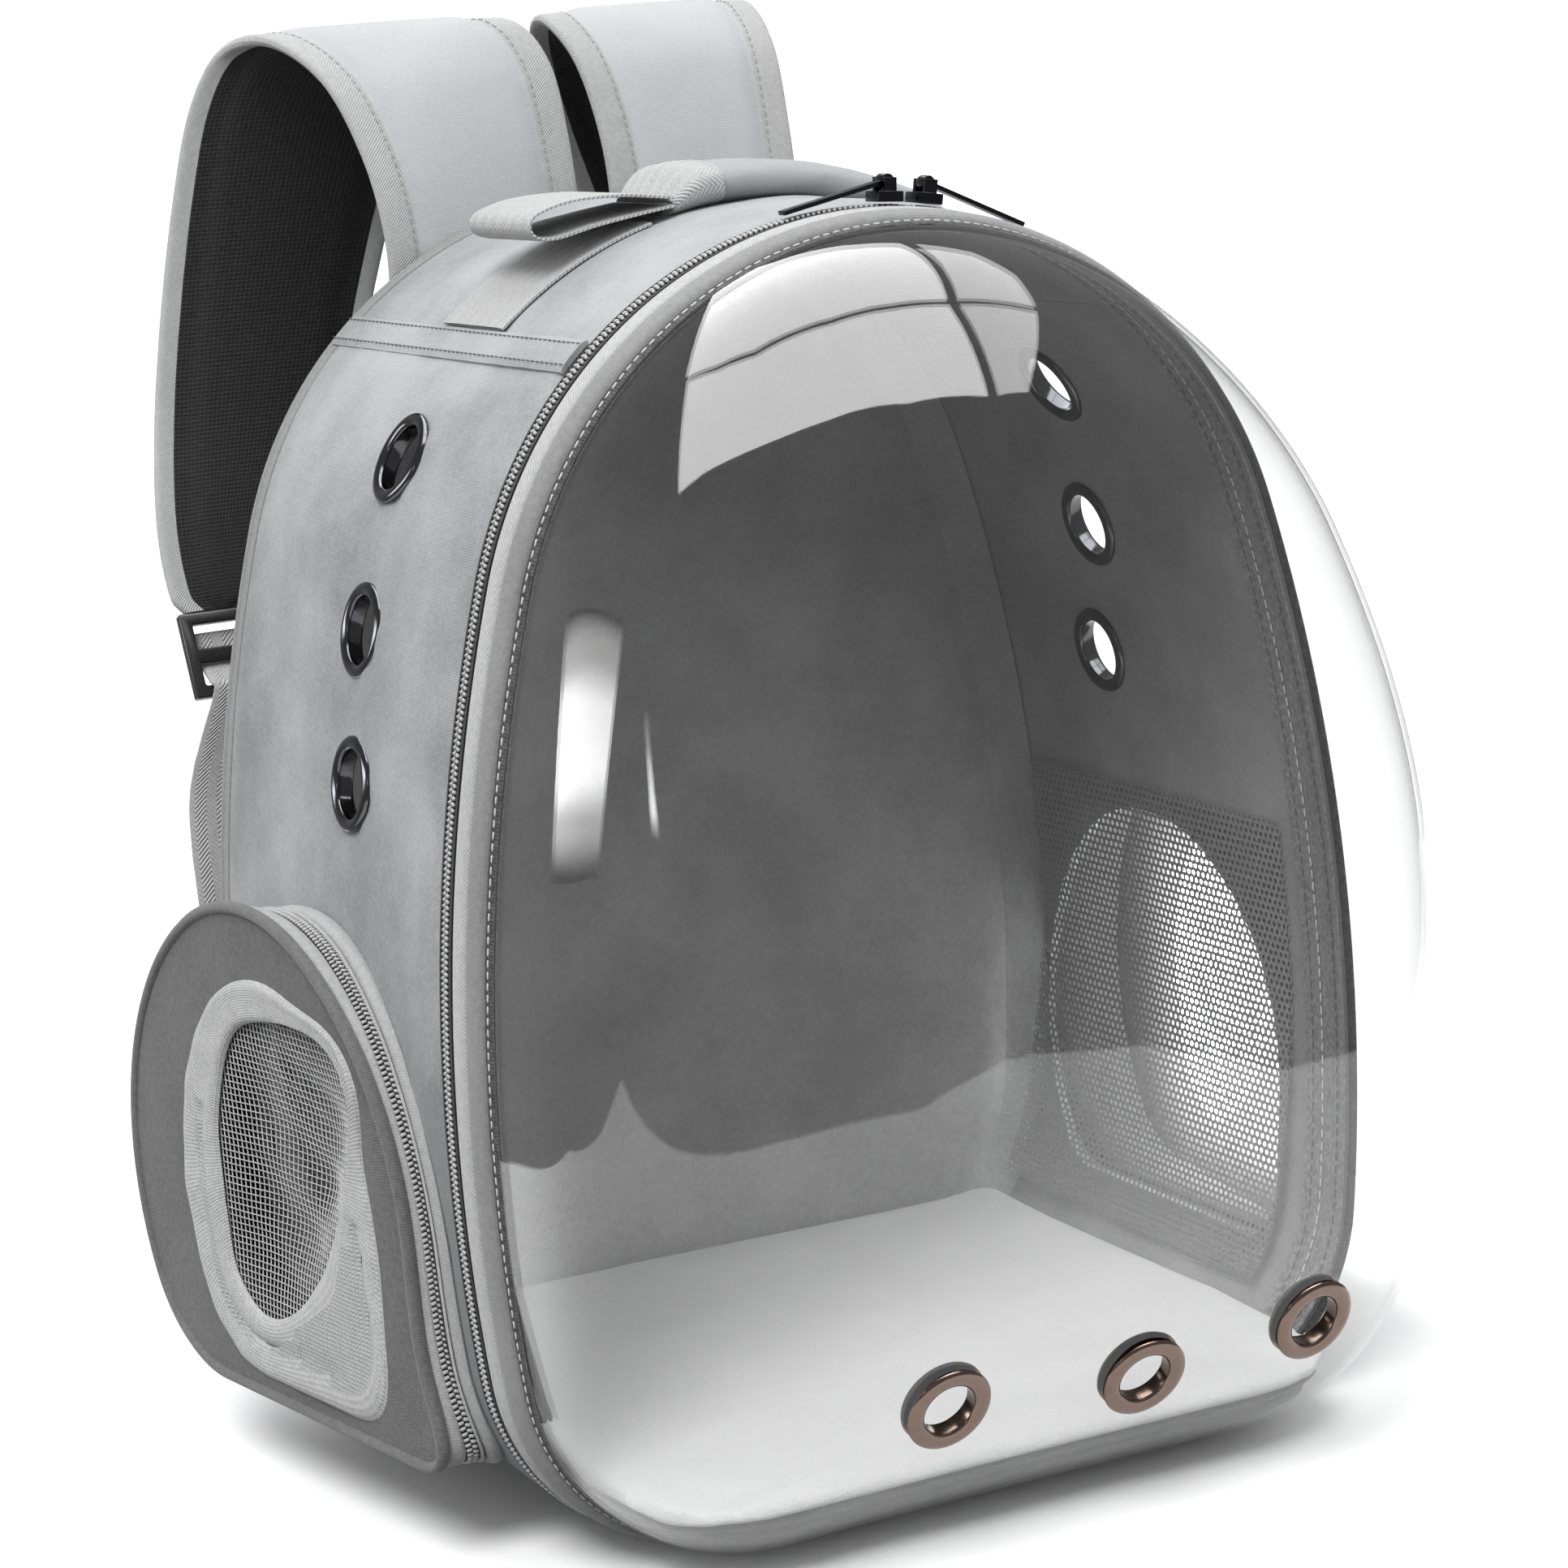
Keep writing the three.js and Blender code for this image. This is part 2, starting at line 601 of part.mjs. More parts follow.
// The dome's front at a place seen from the front, found by stepping out to its rim.
function domeAt(x, z, out, depth) {
  const reach = Math.max(Math.hypot(x, z - domeCentre), 1e-6);
  const [du, dv] = [x / reach, (z - domeCentre) / reach];
  const inside = (r) => {
    const v = domeCentre + r * dv;
    return v > -out && v < shellHeight + out && Math.abs(r * du) < shell.halfWidth(v, out);
  };
  let [low, high] = [0, shellHeight];
  for (let i = 0; i < 30; i += 1) {
    const middle = (low + high) / 2;
    if (inside(middle)) low = middle;
    else high = middle;
  }
  return domeFacetY(dv, Math.min(reach / low, 1), depth);
}

// Where a ring sits on the dome: its middle, its mean direction, and how high and low the dome lies under it.
function domeSeat(x, z) {
  const step = domeRing.flange * 0.6;
  const at = (u, v) => domeAt(u, v, -rimInset, domeDepth);
  const slopeX = (at(x + step, z) - at(x - step, z)) / (2 * step);
  const slopeZ = (at(x, z + step) - at(x, z - step)) / (2 * step);
  const normal = new THREE.Vector3(slopeX, -1, slopeZ).normalize();
  const centre = new THREE.Vector3(x, at(x, z), z);
  const heights = [0.5, 0.8, 1].flatMap((reach) => Array.from({ length: 16 }, (_, i) => {
    const turn = i * Math.PI / 8;
    const [u, v] = [x + reach * domeRing.flange * Math.cos(turn), z + reach * domeRing.flange * Math.sin(turn)];
    return new THREE.Vector3(u, at(u, v), v).sub(centre).dot(normal);
  }));
  return { centre, normal, high: Math.max(0, ...heights), low: Math.min(0, ...heights) };
}

function buildDome() {
  const sides = shell.around().length;
  const skin = (out, depth) => [
    ...domeRings.flatMap((share) => domeRingPoints(share, out, depth)),
    [0, domeY(0, 0, depth), domeCentre],
  ];
  const outer = skin(-rimInset, domeDepth);
  const inner = skin(-rimInset - domeWall, domeDepth - domeWall);
  const index = [];
  for (const [start, flip] of [[0, false], [outer.length, true]]) {
    const face = (p, q, r) => index.push(...(flip ? [r, q, p] : [p, q, r]).map((corner) => corner + start));
    for (let ring = 0; ring < domeRings.length; ring += 1) {
      for (let j = 0; j < sides; j += 1) {
        const k = (j + 1) % sides;
        const near = ring * sides;
        if (ring === domeRings.length - 1) {
          face(near + j, near + k, domeRings.length * sides);
        } else {
          face(near + j, near + k, near + sides + k);
          face(near + j, near + sides + k, near + sides + j);
        }
      }
    }
  }
  for (let j = 0; j < sides; j += 1) {
    const k = (j + 1) % sides;
    index.push(j, outer.length + j, outer.length + k, j, outer.length + k, k);
  }
  const bubble = body([...outer, ...inner], index);
  const holes = domeRingPlaces.map(({ name, x, z }) => {
    const { centre, normal, high, low } = domeSeat(x, z);
    const middle = centre.addScaledVector(normal, high - domeWall / 2);
    const ring = add(`dome_ring_${name}`, ringBody({ ...domeRing, sag: high - low + gap }, domeWall), bronze);
    ring.position.copy(middle);
    ring.quaternion.setFromUnitVectors(new THREE.Vector3(0, 1, 0), normal);
    return aim(ringHole(domeRing, domeWall * 16), middle, normal);
  });
  add('dome', cut(bubble, holes), clear);
}

// Floor pad: level sections that follow the shell's inner sides and the dome's inner front.
function buildPad() {
  const low = wall + gap;
  const back = shellBack - backBoardThickness - padBackGap;
  const sill = rimInset + rimThickness + padSideGap;
  const rings = [low, ...padLevels.map((share) => THREE.MathUtils.lerp(sill, padTop, share))].map((z) => {
    const half = shell.halfWidth(z, -wall - meshThickness - gap - padSideGap);
    const narrow = shell.halfWidth(z, -rimInset - rimThickness - padSideGap);
    const front = Array.from({ length: padFrontSteps + 1 }, (_, i) => {
      const x = narrow * Math.cos(Math.PI * i / padFrontSteps);
      const y = domeAt(x, Math.max(z, sill), -rimInset - domeWall, domeDepth - domeWall);
      return [x, y + padFrontGap, z];
    });
    const step = frontEdge + padSideGap;
    return [[-half, step, z], [-half, back, z], [half, back, z], [half, step, z], ...front];
  });
  const rimRoom = bandSection(coilRise + gap, -sill, frontEdge + padSideGap, frontEdge - rimForward - gap);
  const domeRoom = frontEdge + padSideGap + domeDepth * 2;
  const below = block(shellWidth, domeRoom, sill, 0, frontEdge + padSideGap - domeRoom / 2, sill / 2);
  add('floor_pad', cut(loft(rings), [sweepShell(shell.around(), rimRoom, true), below]), plush);
}

function buildHandle() {
  const [front, back] = [handleY - tapeWidth / 2, handleY + tapeWidth / 2];
  const stripEdge = seamTurn + THREE.MathUtils.radToDeg((seamStripWidth / 2 + gap) / shell.crown);
  const tape = bandSection(gap, gap + tapeThickness, front, back);
  const gapTurn = THREE.MathUtils.radToDeg(2 * gap / shell.crown);
  add('handle_tape_left', sweepShell(shell.between(tapeLeftTurn, 180 - stripEdge), tape), webbing);
  add('handle_tape_right', sweepShell(shell.between(stripEdge, gripTurns.right - gapTurn), tape), webbing);

  const gripRows = [
    { share: 0, swell: 0.5 },
    { share: 0.06, swell: 0.86 },
    { share: 0.25, swell: 1 },
    { share: 0.5, swell: 1 },
    { share: 0.75, swell: 1 },
    { share: 0.94, swell: 0.86 },
    { share: 1, swell: 0.5 },
  ];
  const corner = 0.3;
  const grip = gripRows.map(({ share, swell }) => {
    const { u, v, nu, nv } = shell.station(THREE.MathUtils.lerp(gripTurns.left, gripTurns.right, share));
    const half = (tapeWidth / 2) * (0.7 + 0.3 * swell);
    const thick = gripThickness * swell;
    const section = [
      [-half, 0.45 * thick],
      [-half * (1 - corner), 0],
      [half * (1 - corner), 0],
      [half, 0.45 * thick],
      [half * (1 - corner), thick * 0.92],
      [0, thick],
      [-half * (1 - corner), thick * 0.92],
    ];
    return section.map(([y, rise]) => {
      const out = gripRise + rise;
      return [u + out * nu, handleY + y, v + out * nv];
    });
  });
  add('handle_grip', loft(grip), padding);

  const end = shell.station(gripTurns.left);
  const run = bowRun.map(({ out, up }) => new THREE.Vector3(end.u - out - gap, 0, end.v + up));
  add('handle_bow', loft([front, back].map((y) => ribbon(run, tapeThickness).map(({ x, z }) => [x, y, z]))), webbing);
}

// The outline of a thin strip along a run of places in the X-Z plane.
function ribbon(run, thickness) {
  const sides = run.map((place, i) => {
    const along = run[Math.min(i + 1, run.length - 1)].clone().sub(run[Math.max(i - 1, 0)]).normalize();
    const across = new THREE.Vector3(-along.z, 0, along.x).multiplyScalar(thickness / 2);
    return [place.clone().add(across), place.clone().sub(across)];
  });
  return [...sides.map(([left]) => left), ...sides.map(([, right]) => right).reverse()];
}

// A padded band through places, each with a direction for its width.
function bandBody(rows, section) {
  return loft(rows.map(({ place, width, wide }, i) => {
    const along = rows[Math.min(i + 1, rows.length - 1)].place.clone().sub(rows[Math.max(i - 1, 0)].place).normalize();
    const face = along.clone().cross(wide).normalize();
    return section(width).map(([across, rise]) => (
      place.clone().addScaledVector(wide, across).addScaledVector(face, rise).toArray()
    ));
  }));
}

function buildStrap(side, name) {
  const rest = shellBack + gap + pipingSize + gap;
  const rows = strapRows.map(({ behind, rise, width, [name]: x, [`${name}Swing`]: swing }) => ({
    place: new THREE.Vector3(x, rest + strapThickness / 2 + behind, shellHeight + rise),
    wide: new THREE.Vector3(Math.cos(degrees(swing)), Math.sin(degrees(swing)), 0),
    width,
  }));
  const section = (width) => {
    const [half, flat] = [width / 2, width / 2 - strapEdge];
    const thick = strapThickness / 2;
    return [[-half, 0], [-flat, -thick], [0, -thick], [flat, -thick], [half, 0], [flat, thick], [0, thick], [-flat, thick]];
  };
  add(`shoulder_strap_${name}`, outward(bandBody(rows, section).scale(side, 1, 1)), padding);

  const [before, last] = rows.slice(-2).map(({ place }) => place);
  const along = last.clone().sub(before).normalize();
  const end = new THREE.Vector3(side * last.x, last.y, last.z);
  const { width, height, thickness, bar, rail } = adjuster;
  const slot = (height - 3 * bar) / 2;
  const frame = block(width, thickness, height, 0, 0, -height / 2 - gap);
  const slotAt = (row) => block(width - 2 * rail, thickness * 3, slot, 0, 0, -gap - bar - slot / 2 - row * (slot + bar));
  const lock = add(`strap_adjuster_${name}`, cut(frame, [slotAt(0), slotAt(1)]), blackPlastic);
  lock.position.copy(end);
  const down = new THREE.Vector3(0, 0, -1);
  lock.quaternion.setFromUnitVectors(down, new THREE.Vector3(0, along.y, along.z).normalize());

  // The webbing comes up in front of the lower bar, through the lower slot and down behind the middle bar.
  const local = (out, drop) => new THREE.Vector3(0, out, -gap - drop).applyQuaternion(lock.quaternion).add(end);
  const clear = thickness / 2 + gap + webbingThickness / 2;
  const [middleBar, lowBar] = [bar + slot, 2 * (bar + slot)];
  const threaded = [
    local(clear, middleBar - slot * 0.75),
    local(clear, middleBar + bar / 2),
    local(clear, middleBar + bar),
    local(0, middleBar + bar + slot / 2),
    local(-clear, lowBar),
    local(-clear, lowBar + bar),
  ];
  const fall = webbingRows.map(({ x, behind, z }) => new THREE.Vector3(side * x, rest + webbingThickness / 2 + behind, z));
  const strip = (strapWidth) => {
    const [half, thick] = [strapWidth / 2, webbingThickness / 2];
    return [[-half, -thick], [half, -thick], [half, thick], [-half, thick]];
  };
  const run = [...threaded, ...fall].map((place) => ({
    place,
    wide: new THREE.Vector3(1, 0, 0),
    width: webbingWidth,
  }));
  add(`strap_webbing_${name}`, bandBody(run, strip), webbing);
}

// A slider rides on the zip at the crown, and its pull hangs on a pin between two ears.
function buildSlider(side, name) {
  const x = sliderMiddle + side * sliderSpacing / 2;
  const turn = Math.asin(x / shell.crown);
  const y = frontEdge - gap - zipWidth / 2;
  const seat = shell.crown + coilRise + gap;
  const crownZ = shellHeight - shell.crown;
  const { length, width, height, ear, earLength } = slider;
  const place = new THREE.Vector3(Math.sin(turn) * seat, y, crownZ + Math.cos(turn) * seat);
  const earY = (pull.width + ear) / 2 + gap;
  const earHeight = pinHeight + pinRadius + 0.6;
  const ears = [-1, 1].map((end) => block(earLength, ear, earHeight, 0, end * earY, height + earHeight / 2 - gap));
  const pin = new THREE.CylinderGeometry(pinRadius, pinRadius, 2 * earY, 10).translate(0, 0, height + pinHeight);
  const piece = add(`zip_slider_${name}`, join(block(length, width, height, 0, 0, height / 2), ...ears, pin), blackMetal);
  piece.position.copy(place);
  piece.rotation.y = turn;

  const hinge = new THREE.Vector3(0, 0, height + pinHeight).applyEuler(piece.rotation).add(place);
  const tipX = hinge.x + side * pull.length;
  const tipZ = crownZ + Math.sqrt((shell.crown + coilRise) ** 2 - tipX ** 2) + gap + pull.thickness;
  const droop = Math.atan2(hinge.z - tipZ, pull.length);
  const eye = new THREE.CylinderGeometry(pull.eye, pull.eye, pull.width, 12);
  const blade = block(pull.length, pull.width, pull.thickness, side * pull.length / 2, 0, 0);
  const eyeHole = new THREE.CylinderGeometry(pinRadius + 0.4, pinRadius + 0.4, pull.width * 2, 12);
  const handle = add(`zip_pull_${name}`, cut(join(eye, blade), [eyeHole]), blackMetal);
  handle.position.copy(hinge);
  handle.rotation.y = side * droop;
}

buildShell();
buildRim();
buildDome();
for (const [side, name] of [[-1, 'left'], [1, 'right']]) {
  buildSide(side, name);
  buildPouch(side, name);
  buildStrap(side, name);
  buildSlider(side, name);
}
buildPad();
buildHandle();

export default pack;
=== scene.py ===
import math

import bmesh
import bpy
import numpy as np
from mathutils import Matrix, Vector, noise


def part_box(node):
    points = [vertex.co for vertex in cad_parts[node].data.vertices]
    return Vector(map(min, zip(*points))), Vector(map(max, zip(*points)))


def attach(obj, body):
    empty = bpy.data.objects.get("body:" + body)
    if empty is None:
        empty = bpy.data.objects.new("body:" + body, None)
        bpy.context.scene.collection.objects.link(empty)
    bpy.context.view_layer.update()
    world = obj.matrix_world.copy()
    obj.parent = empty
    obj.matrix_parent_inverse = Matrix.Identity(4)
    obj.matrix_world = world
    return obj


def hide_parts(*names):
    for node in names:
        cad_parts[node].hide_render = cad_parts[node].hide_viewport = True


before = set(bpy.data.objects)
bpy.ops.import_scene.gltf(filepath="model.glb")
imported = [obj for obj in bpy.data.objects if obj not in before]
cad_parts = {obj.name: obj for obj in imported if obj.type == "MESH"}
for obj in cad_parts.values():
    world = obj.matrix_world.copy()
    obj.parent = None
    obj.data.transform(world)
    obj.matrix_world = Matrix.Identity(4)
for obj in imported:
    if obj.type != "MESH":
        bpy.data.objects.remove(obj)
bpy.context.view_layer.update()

MM = 0.001
SIDES = (("left", -1), ("right", 1))
FORWARD = (0, -1, 0)
# Frames of the pads' cloth simulation.
SIM_FRAMES = 20

# Shell and rim, as in the frame.
SHELL = {"width": 327, "height": 420, "widest": 138, "narrowing": 19.5, "foot": 73}
FRONT_EDGE = -100
SHELL_BACK = 98
WALL = 3
GAP = 0.3
SEAM_TURN = 47.3
SEAM_STRIP = 13
RIM_INSET = 4.6
ZIP_WIDTH = 8.2
BAND_WIDTH = 8.7
ROLL_WIDTH = 9.9
RIM_FORWARD = ZIP_WIDTH + BAND_WIDTH + ROLL_WIDTH + 4 * GAP
DOME_DEPTH = 92
DOME_WALL = 1.5
DOME_CENTRE = 215
DOME_POWER = {"crown": 1.8, "side": 4.4, "foot": 2.6, "turn": 1.6}
BACK_BOARD = 6

# Pouches.
POUCH = {"width": 178, "height": 167, "widest": 68, "narrowing": 14, "foot": 46}
FRAME_ARCH = {"width": 128, "height": 141, "widest": 62, "narrowing": 10, "foot": 36}
POUCH_PLACE = (7, 35)
BASE_PLACE = (3, 31)
FRAME_PLACE = (-3, 40)
POUCH_STAND_OFF = 24
POUCH_LEAN = 0.16
# The mouth in the side panel is the pouch's foot outline drawn in towards a centre.
MOUTH_CENTRE = (-2, 105)
MOUTH_SHARE = 0.86


class Arch:
    """A crown arc, two side arcs and two foot arcs on a flat foot. Turn is the outward normal's angle."""

    def __init__(self, width, height, widest, narrowing, foot):
        half = width / 2
        crown = half - narrowing
        rise = height - crown - widest
        side = (half**2 + rise**2 - crown**2) / (2 * narrowing)
        side_u = half - side
        foot_u = side_u + math.sqrt((side - foot) ** 2 - (widest - foot) ** 2)
        self.crown_turn = math.degrees(math.atan2(rise, -side_u))
        self.foot_turn = math.degrees(math.atan2(foot - widest, foot_u - side_u))
        self.crown = (0, height - crown, crown)
        self.side = (side_u, widest, side)
        self.foot = (foot_u, foot, foot)
        self.height = height

    def station(self, turn):
        own = 180 - turn if turn > 90 else turn
        arc = self.crown if own > self.crown_turn else self.side if own > self.foot_turn else self.foot
        nu, nv = math.cos(math.radians(own)), math.sin(math.radians(own))
        mirror = -1 if turn > 90 else 1
        return mirror * (arc[0] + arc[2] * nu), arc[1] + arc[2] * nv, mirror * nu, nv

    def half_width(self, v, out=0):
        u, centre, radius = self.arc_at(v)
        return u + math.sqrt(max((radius + out) ** 2 - (v - centre) ** 2, 0))

    def arc_at(self, v):
        if v > self.station(self.crown_turn)[1]:
            return self.crown
        return self.side if v > self.station(self.foot_turn)[1] else self.foot

    def turn_at(self, v):
        _, centre, radius = self.arc_at(v)
        return math.degrees(math.asin((v - centre) / radius))


class Run:
    """Places with outward normals along an outline, found again by length."""

    def __init__(self, stations, closed=False):
        self.rows = np.array(stations, float)
        self.closed = closed
        if closed:
            self.rows = np.vstack([self.rows, self.rows[:1]])
        steps = np.hypot(*np.diff(self.rows[:, :2], axis=0).T)
        self.s = np.concatenate([[0], np.cumsum(steps)])
        self.length = self.s[-1]

    def at(self, s):
        s = np.asarray(s, float)
        if self.closed:
            s = np.mod(s, self.length)
        return np.stack([np.interp(s, self.s, self.rows[:, i]) for i in range(4)], -1)

    def spread(self, step):
        count = max(int(round(self.length / step)), 3)
        s = np.arange(count) * self.length / count if self.closed else np.linspace(0, self.length, count + 1)
        return self.at(s)

    def moved(self, out, place=(0, 0)):
        rows = self.rows[:-1] if self.closed else self.rows
        u = rows[:, 0] + out * rows[:, 2] + place[0]
        v = rows[:, 1] + out * rows[:, 3] + place[1]
        return Run(np.stack([u, v, rows[:, 2], rows[:, 3]], -1), self.closed)


def arch_run(arch, step=0.5):
    """The whole outline of an arch, closed along its flat foot."""
    rows = [arch.station(turn) for turn in np.linspace(-90, 270, int(360 / step) + 1)]
    foot_u = arch.foot[0]
    rows += [(u, 0, 0, -1) for u in np.linspace(-foot_u, foot_u, 60)[1:-1]]
    return Run(rows, True)


def round_turns(count):
    return np.linspace(0, 2 * math.pi, count + 1)[:-1]


shell = Arch(**SHELL)
pouch_arch = Arch(**POUCH)
frame_arch = Arch(**FRAME_ARCH)
shell_run = arch_run(shell)


# Meshes


def link(name, data):
    thing = bpy.data.objects.new(name, data)
    bpy.context.scene.collection.objects.link(thing)
    return thing


def smooth(thing, angle=40):
    thing.data.shade_smooth()
    thing.data.set_sharp_from_angle(angle=math.radians(angle))
    return thing


def mesh_piece(name, points, faces, uvs=None, materials=(), material_of=None, angle=40):
    """A piece from points in millimetres. uvs holds a pair in millimetres for each face corner."""
    mesh = bpy.data.meshes.new(name)
    mesh.from_pydata((np.asarray(points, float) * MM).tolist(), [], faces)
    if uvs is not None:
        layer = mesh.uv_layers.new(name="UVMap")
        layer.data.foreach_set("uv", (np.asarray(uvs, float) * MM).ravel())
    for material in materials:
        mesh.materials.append(material)
    if material_of is not None:
        mesh.polygons.foreach_set("material_index", np.asarray(material_of, np.int32))
    mesh.validate()
    mesh.update()
    return smooth(link(name, mesh), angle)


def grid(name, rings, materials, closed_u=False, closed_v=False, caps=False, material_of=None, angle=40):
    """Quads through rings of points, with a map whose lengths are the real ones."""
    rings = np.asarray(rings, float)
    n, m = rings.shape[:2]
    wrap_u = np.vstack([rings, rings[:1]]) if closed_u else rings
    wrap_v = np.hstack([rings, rings[:, :1]]) if closed_v else rings
    along = np.concatenate([[0], np.cumsum(np.linalg.norm(np.diff(wrap_u, axis=0), axis=2).mean(1))])
    across = np.concatenate([[0], np.cumsum(np.linalg.norm(np.diff(wrap_v, axis=1), axis=2).mean(0))])
    faces, uvs, kinds = [], [], []
    for i in range(n if closed_u else n - 1):
        for j in range(m if closed_v else m - 1):
            a, b = i, (i + 1) % n
            c, d = j, (j + 1) % m
            faces.append((a * m + c, b * m + c, b * m + d, a * m + d))
            uvs += [(along[i], across[j]), (along[i + 1], across[j])]
            uvs += [(along[i + 1], across[j + 1]), (along[i], across[j + 1])]
            kinds.append(material_of(i, j) if material_of else 0)
    if caps:
        for i in (0, n - 1):
            corners = list(range(i * m, (i + 1) * m))
            faces.append(tuple(corners if i else corners[::-1]))
            uvs += [(across[j], 0) for j in range(m)]
            kinds.append(kinds[0 if i == 0 else -1])
    thing = mesh_piece(name, rings.reshape(-1, 3), faces, uvs, materials, kinds, angle)
    tidy = bmesh.new()
    tidy.from_mesh(thing.data)
    bmesh.ops.recalc_face_normals(tidy, faces=tidy.faces)
    tidy.to_mesh(thing.data)
    tidy.free()
    return thing


def shell_point(row, out, y):
    u, v, nu, nv = row
    return [u + out * nu, y, max(v + out * nv, 0)]


def sweep(name, rows, section, materials, closed=True, **more):
    """A section of (out, y) places carried along the shell's outline."""
    rings = [[shell_point(row, out, y) for out, y in section] for row in rows]
    return grid(name, rings, materials, closed_u=closed, closed_v=True, caps=not closed, **more)


def join(name, things):
    """One piece from several, with their materials kept."""
    bpy.ops.object.select_all(action="DESELECT")
    for thing in things:
        thing.select_set(True)
    bpy.context.view_layer.objects.active = things[0]
    if len(things) > 1:
        bpy.ops.object.join()
    things[0].name = name
    things[0].data.name = name
    return things[0]


def apply_modifiers(thing):
    bpy.context.view_layer.objects.active = thing
    for modifier in list(thing.modifiers):
        bpy.ops.object.modifier_apply(modifier=modifier.name)
    return thing


def cut(thing, tools):
    for tool in tools:
        modifier = thing.modifiers.new("cut", "BOOLEAN")
        modifier.operation = "DIFFERENCE"
        modifier.solver = "EXACT"
        modifier.object = tool
        apply_modifiers(thing)
        bpy.data.objects.remove(tool)
    return smooth(thing)


def copies(name, template, places, material, angle=60):
    """Many small copies of one small form as one mesh. A place is an origin and three axes."""
    points, faces = template
    points = np.asarray(points, float)
    count = len(points)
    everything = np.concatenate([place + points @ np.asarray(axes) for place, axes in places])
    all_faces = [tuple(k + i * count for k in face) for i in range(len(places)) for face in faces]
    return mesh_piece(name, everything, all_faces, None, [material], None, angle)


def pill(length, width, height, sides=6):
    """A small rounded bar along its first axis."""
    points, faces = [], []
    stations = ((-0.5, 0.45), (-0.36, 0.95), (0.36, 0.95), (0.5, 0.45))
    for share, swell in stations:
        for k in range(sides):
            turn = 2 * math.pi * (k + 0.5) / sides
            across = swell * width / 2 * math.cos(turn)
            rise = swell * height / 2 * math.sin(turn)
            points.append((share * length, across, rise))
    for i in range(len(stations) - 1):
        for k in range(sides):
            j = (k + 1) % sides
            faces.append((i * sides + k, i * sides + j, (i + 1) * sides + j, (i + 1) * sides + k))
    faces.append(tuple(range(sides))[::-1])
    faces.append(tuple(range((len(stations) - 1) * sides, len(stations) * sides)))
    return points, faces


def ripple(point, size, seed=0.0):
    """Smooth noise from -1 to 1 at a place in millimetres."""
    x, y, z = point
    return noise.noise(Vector((x / size + seed, y / size - seed, z / size + 2 * seed)))


def ease(x):
    x = min(max(x, 0.0), 1.0)
    return x * x * (3 - 2 * x)


def curve_through(points, step):
    """Places every step along a smooth curve through points."""
    points = np.asarray(points, float)
    ends = np.vstack([2 * points[0] - points[1], points, 2 * points[-1] - points[-2]])
    dense = []
    for i in range(len(points) - 1):
        p0, p1, p2, p3 = ends[i : i + 4]
        for t in np.linspace(0, 1, 24, endpoint=False):
            dense.append(
                0.5 * (2 * p1 + (p2 - p0) * t + (2 * p0 - 5 * p1 + 4 * p2 - p3) * t**2
                       + (3 * p1 - p0 - 3 * p2 + p3) * t**3)
            )
    dense.append(points[-1])
    dense = np.array(dense)
    s = np.concatenate([[0], np.cumsum(np.linalg.norm(np.diff(dense[:, :3], axis=0), axis=1))])
    count = max(int(round(s[-1] / step)), 2)
    even = np.linspace(0, s[-1], count + 1)
    return np.stack([np.interp(even, s, column) for column in dense.T], -1)


# Materials


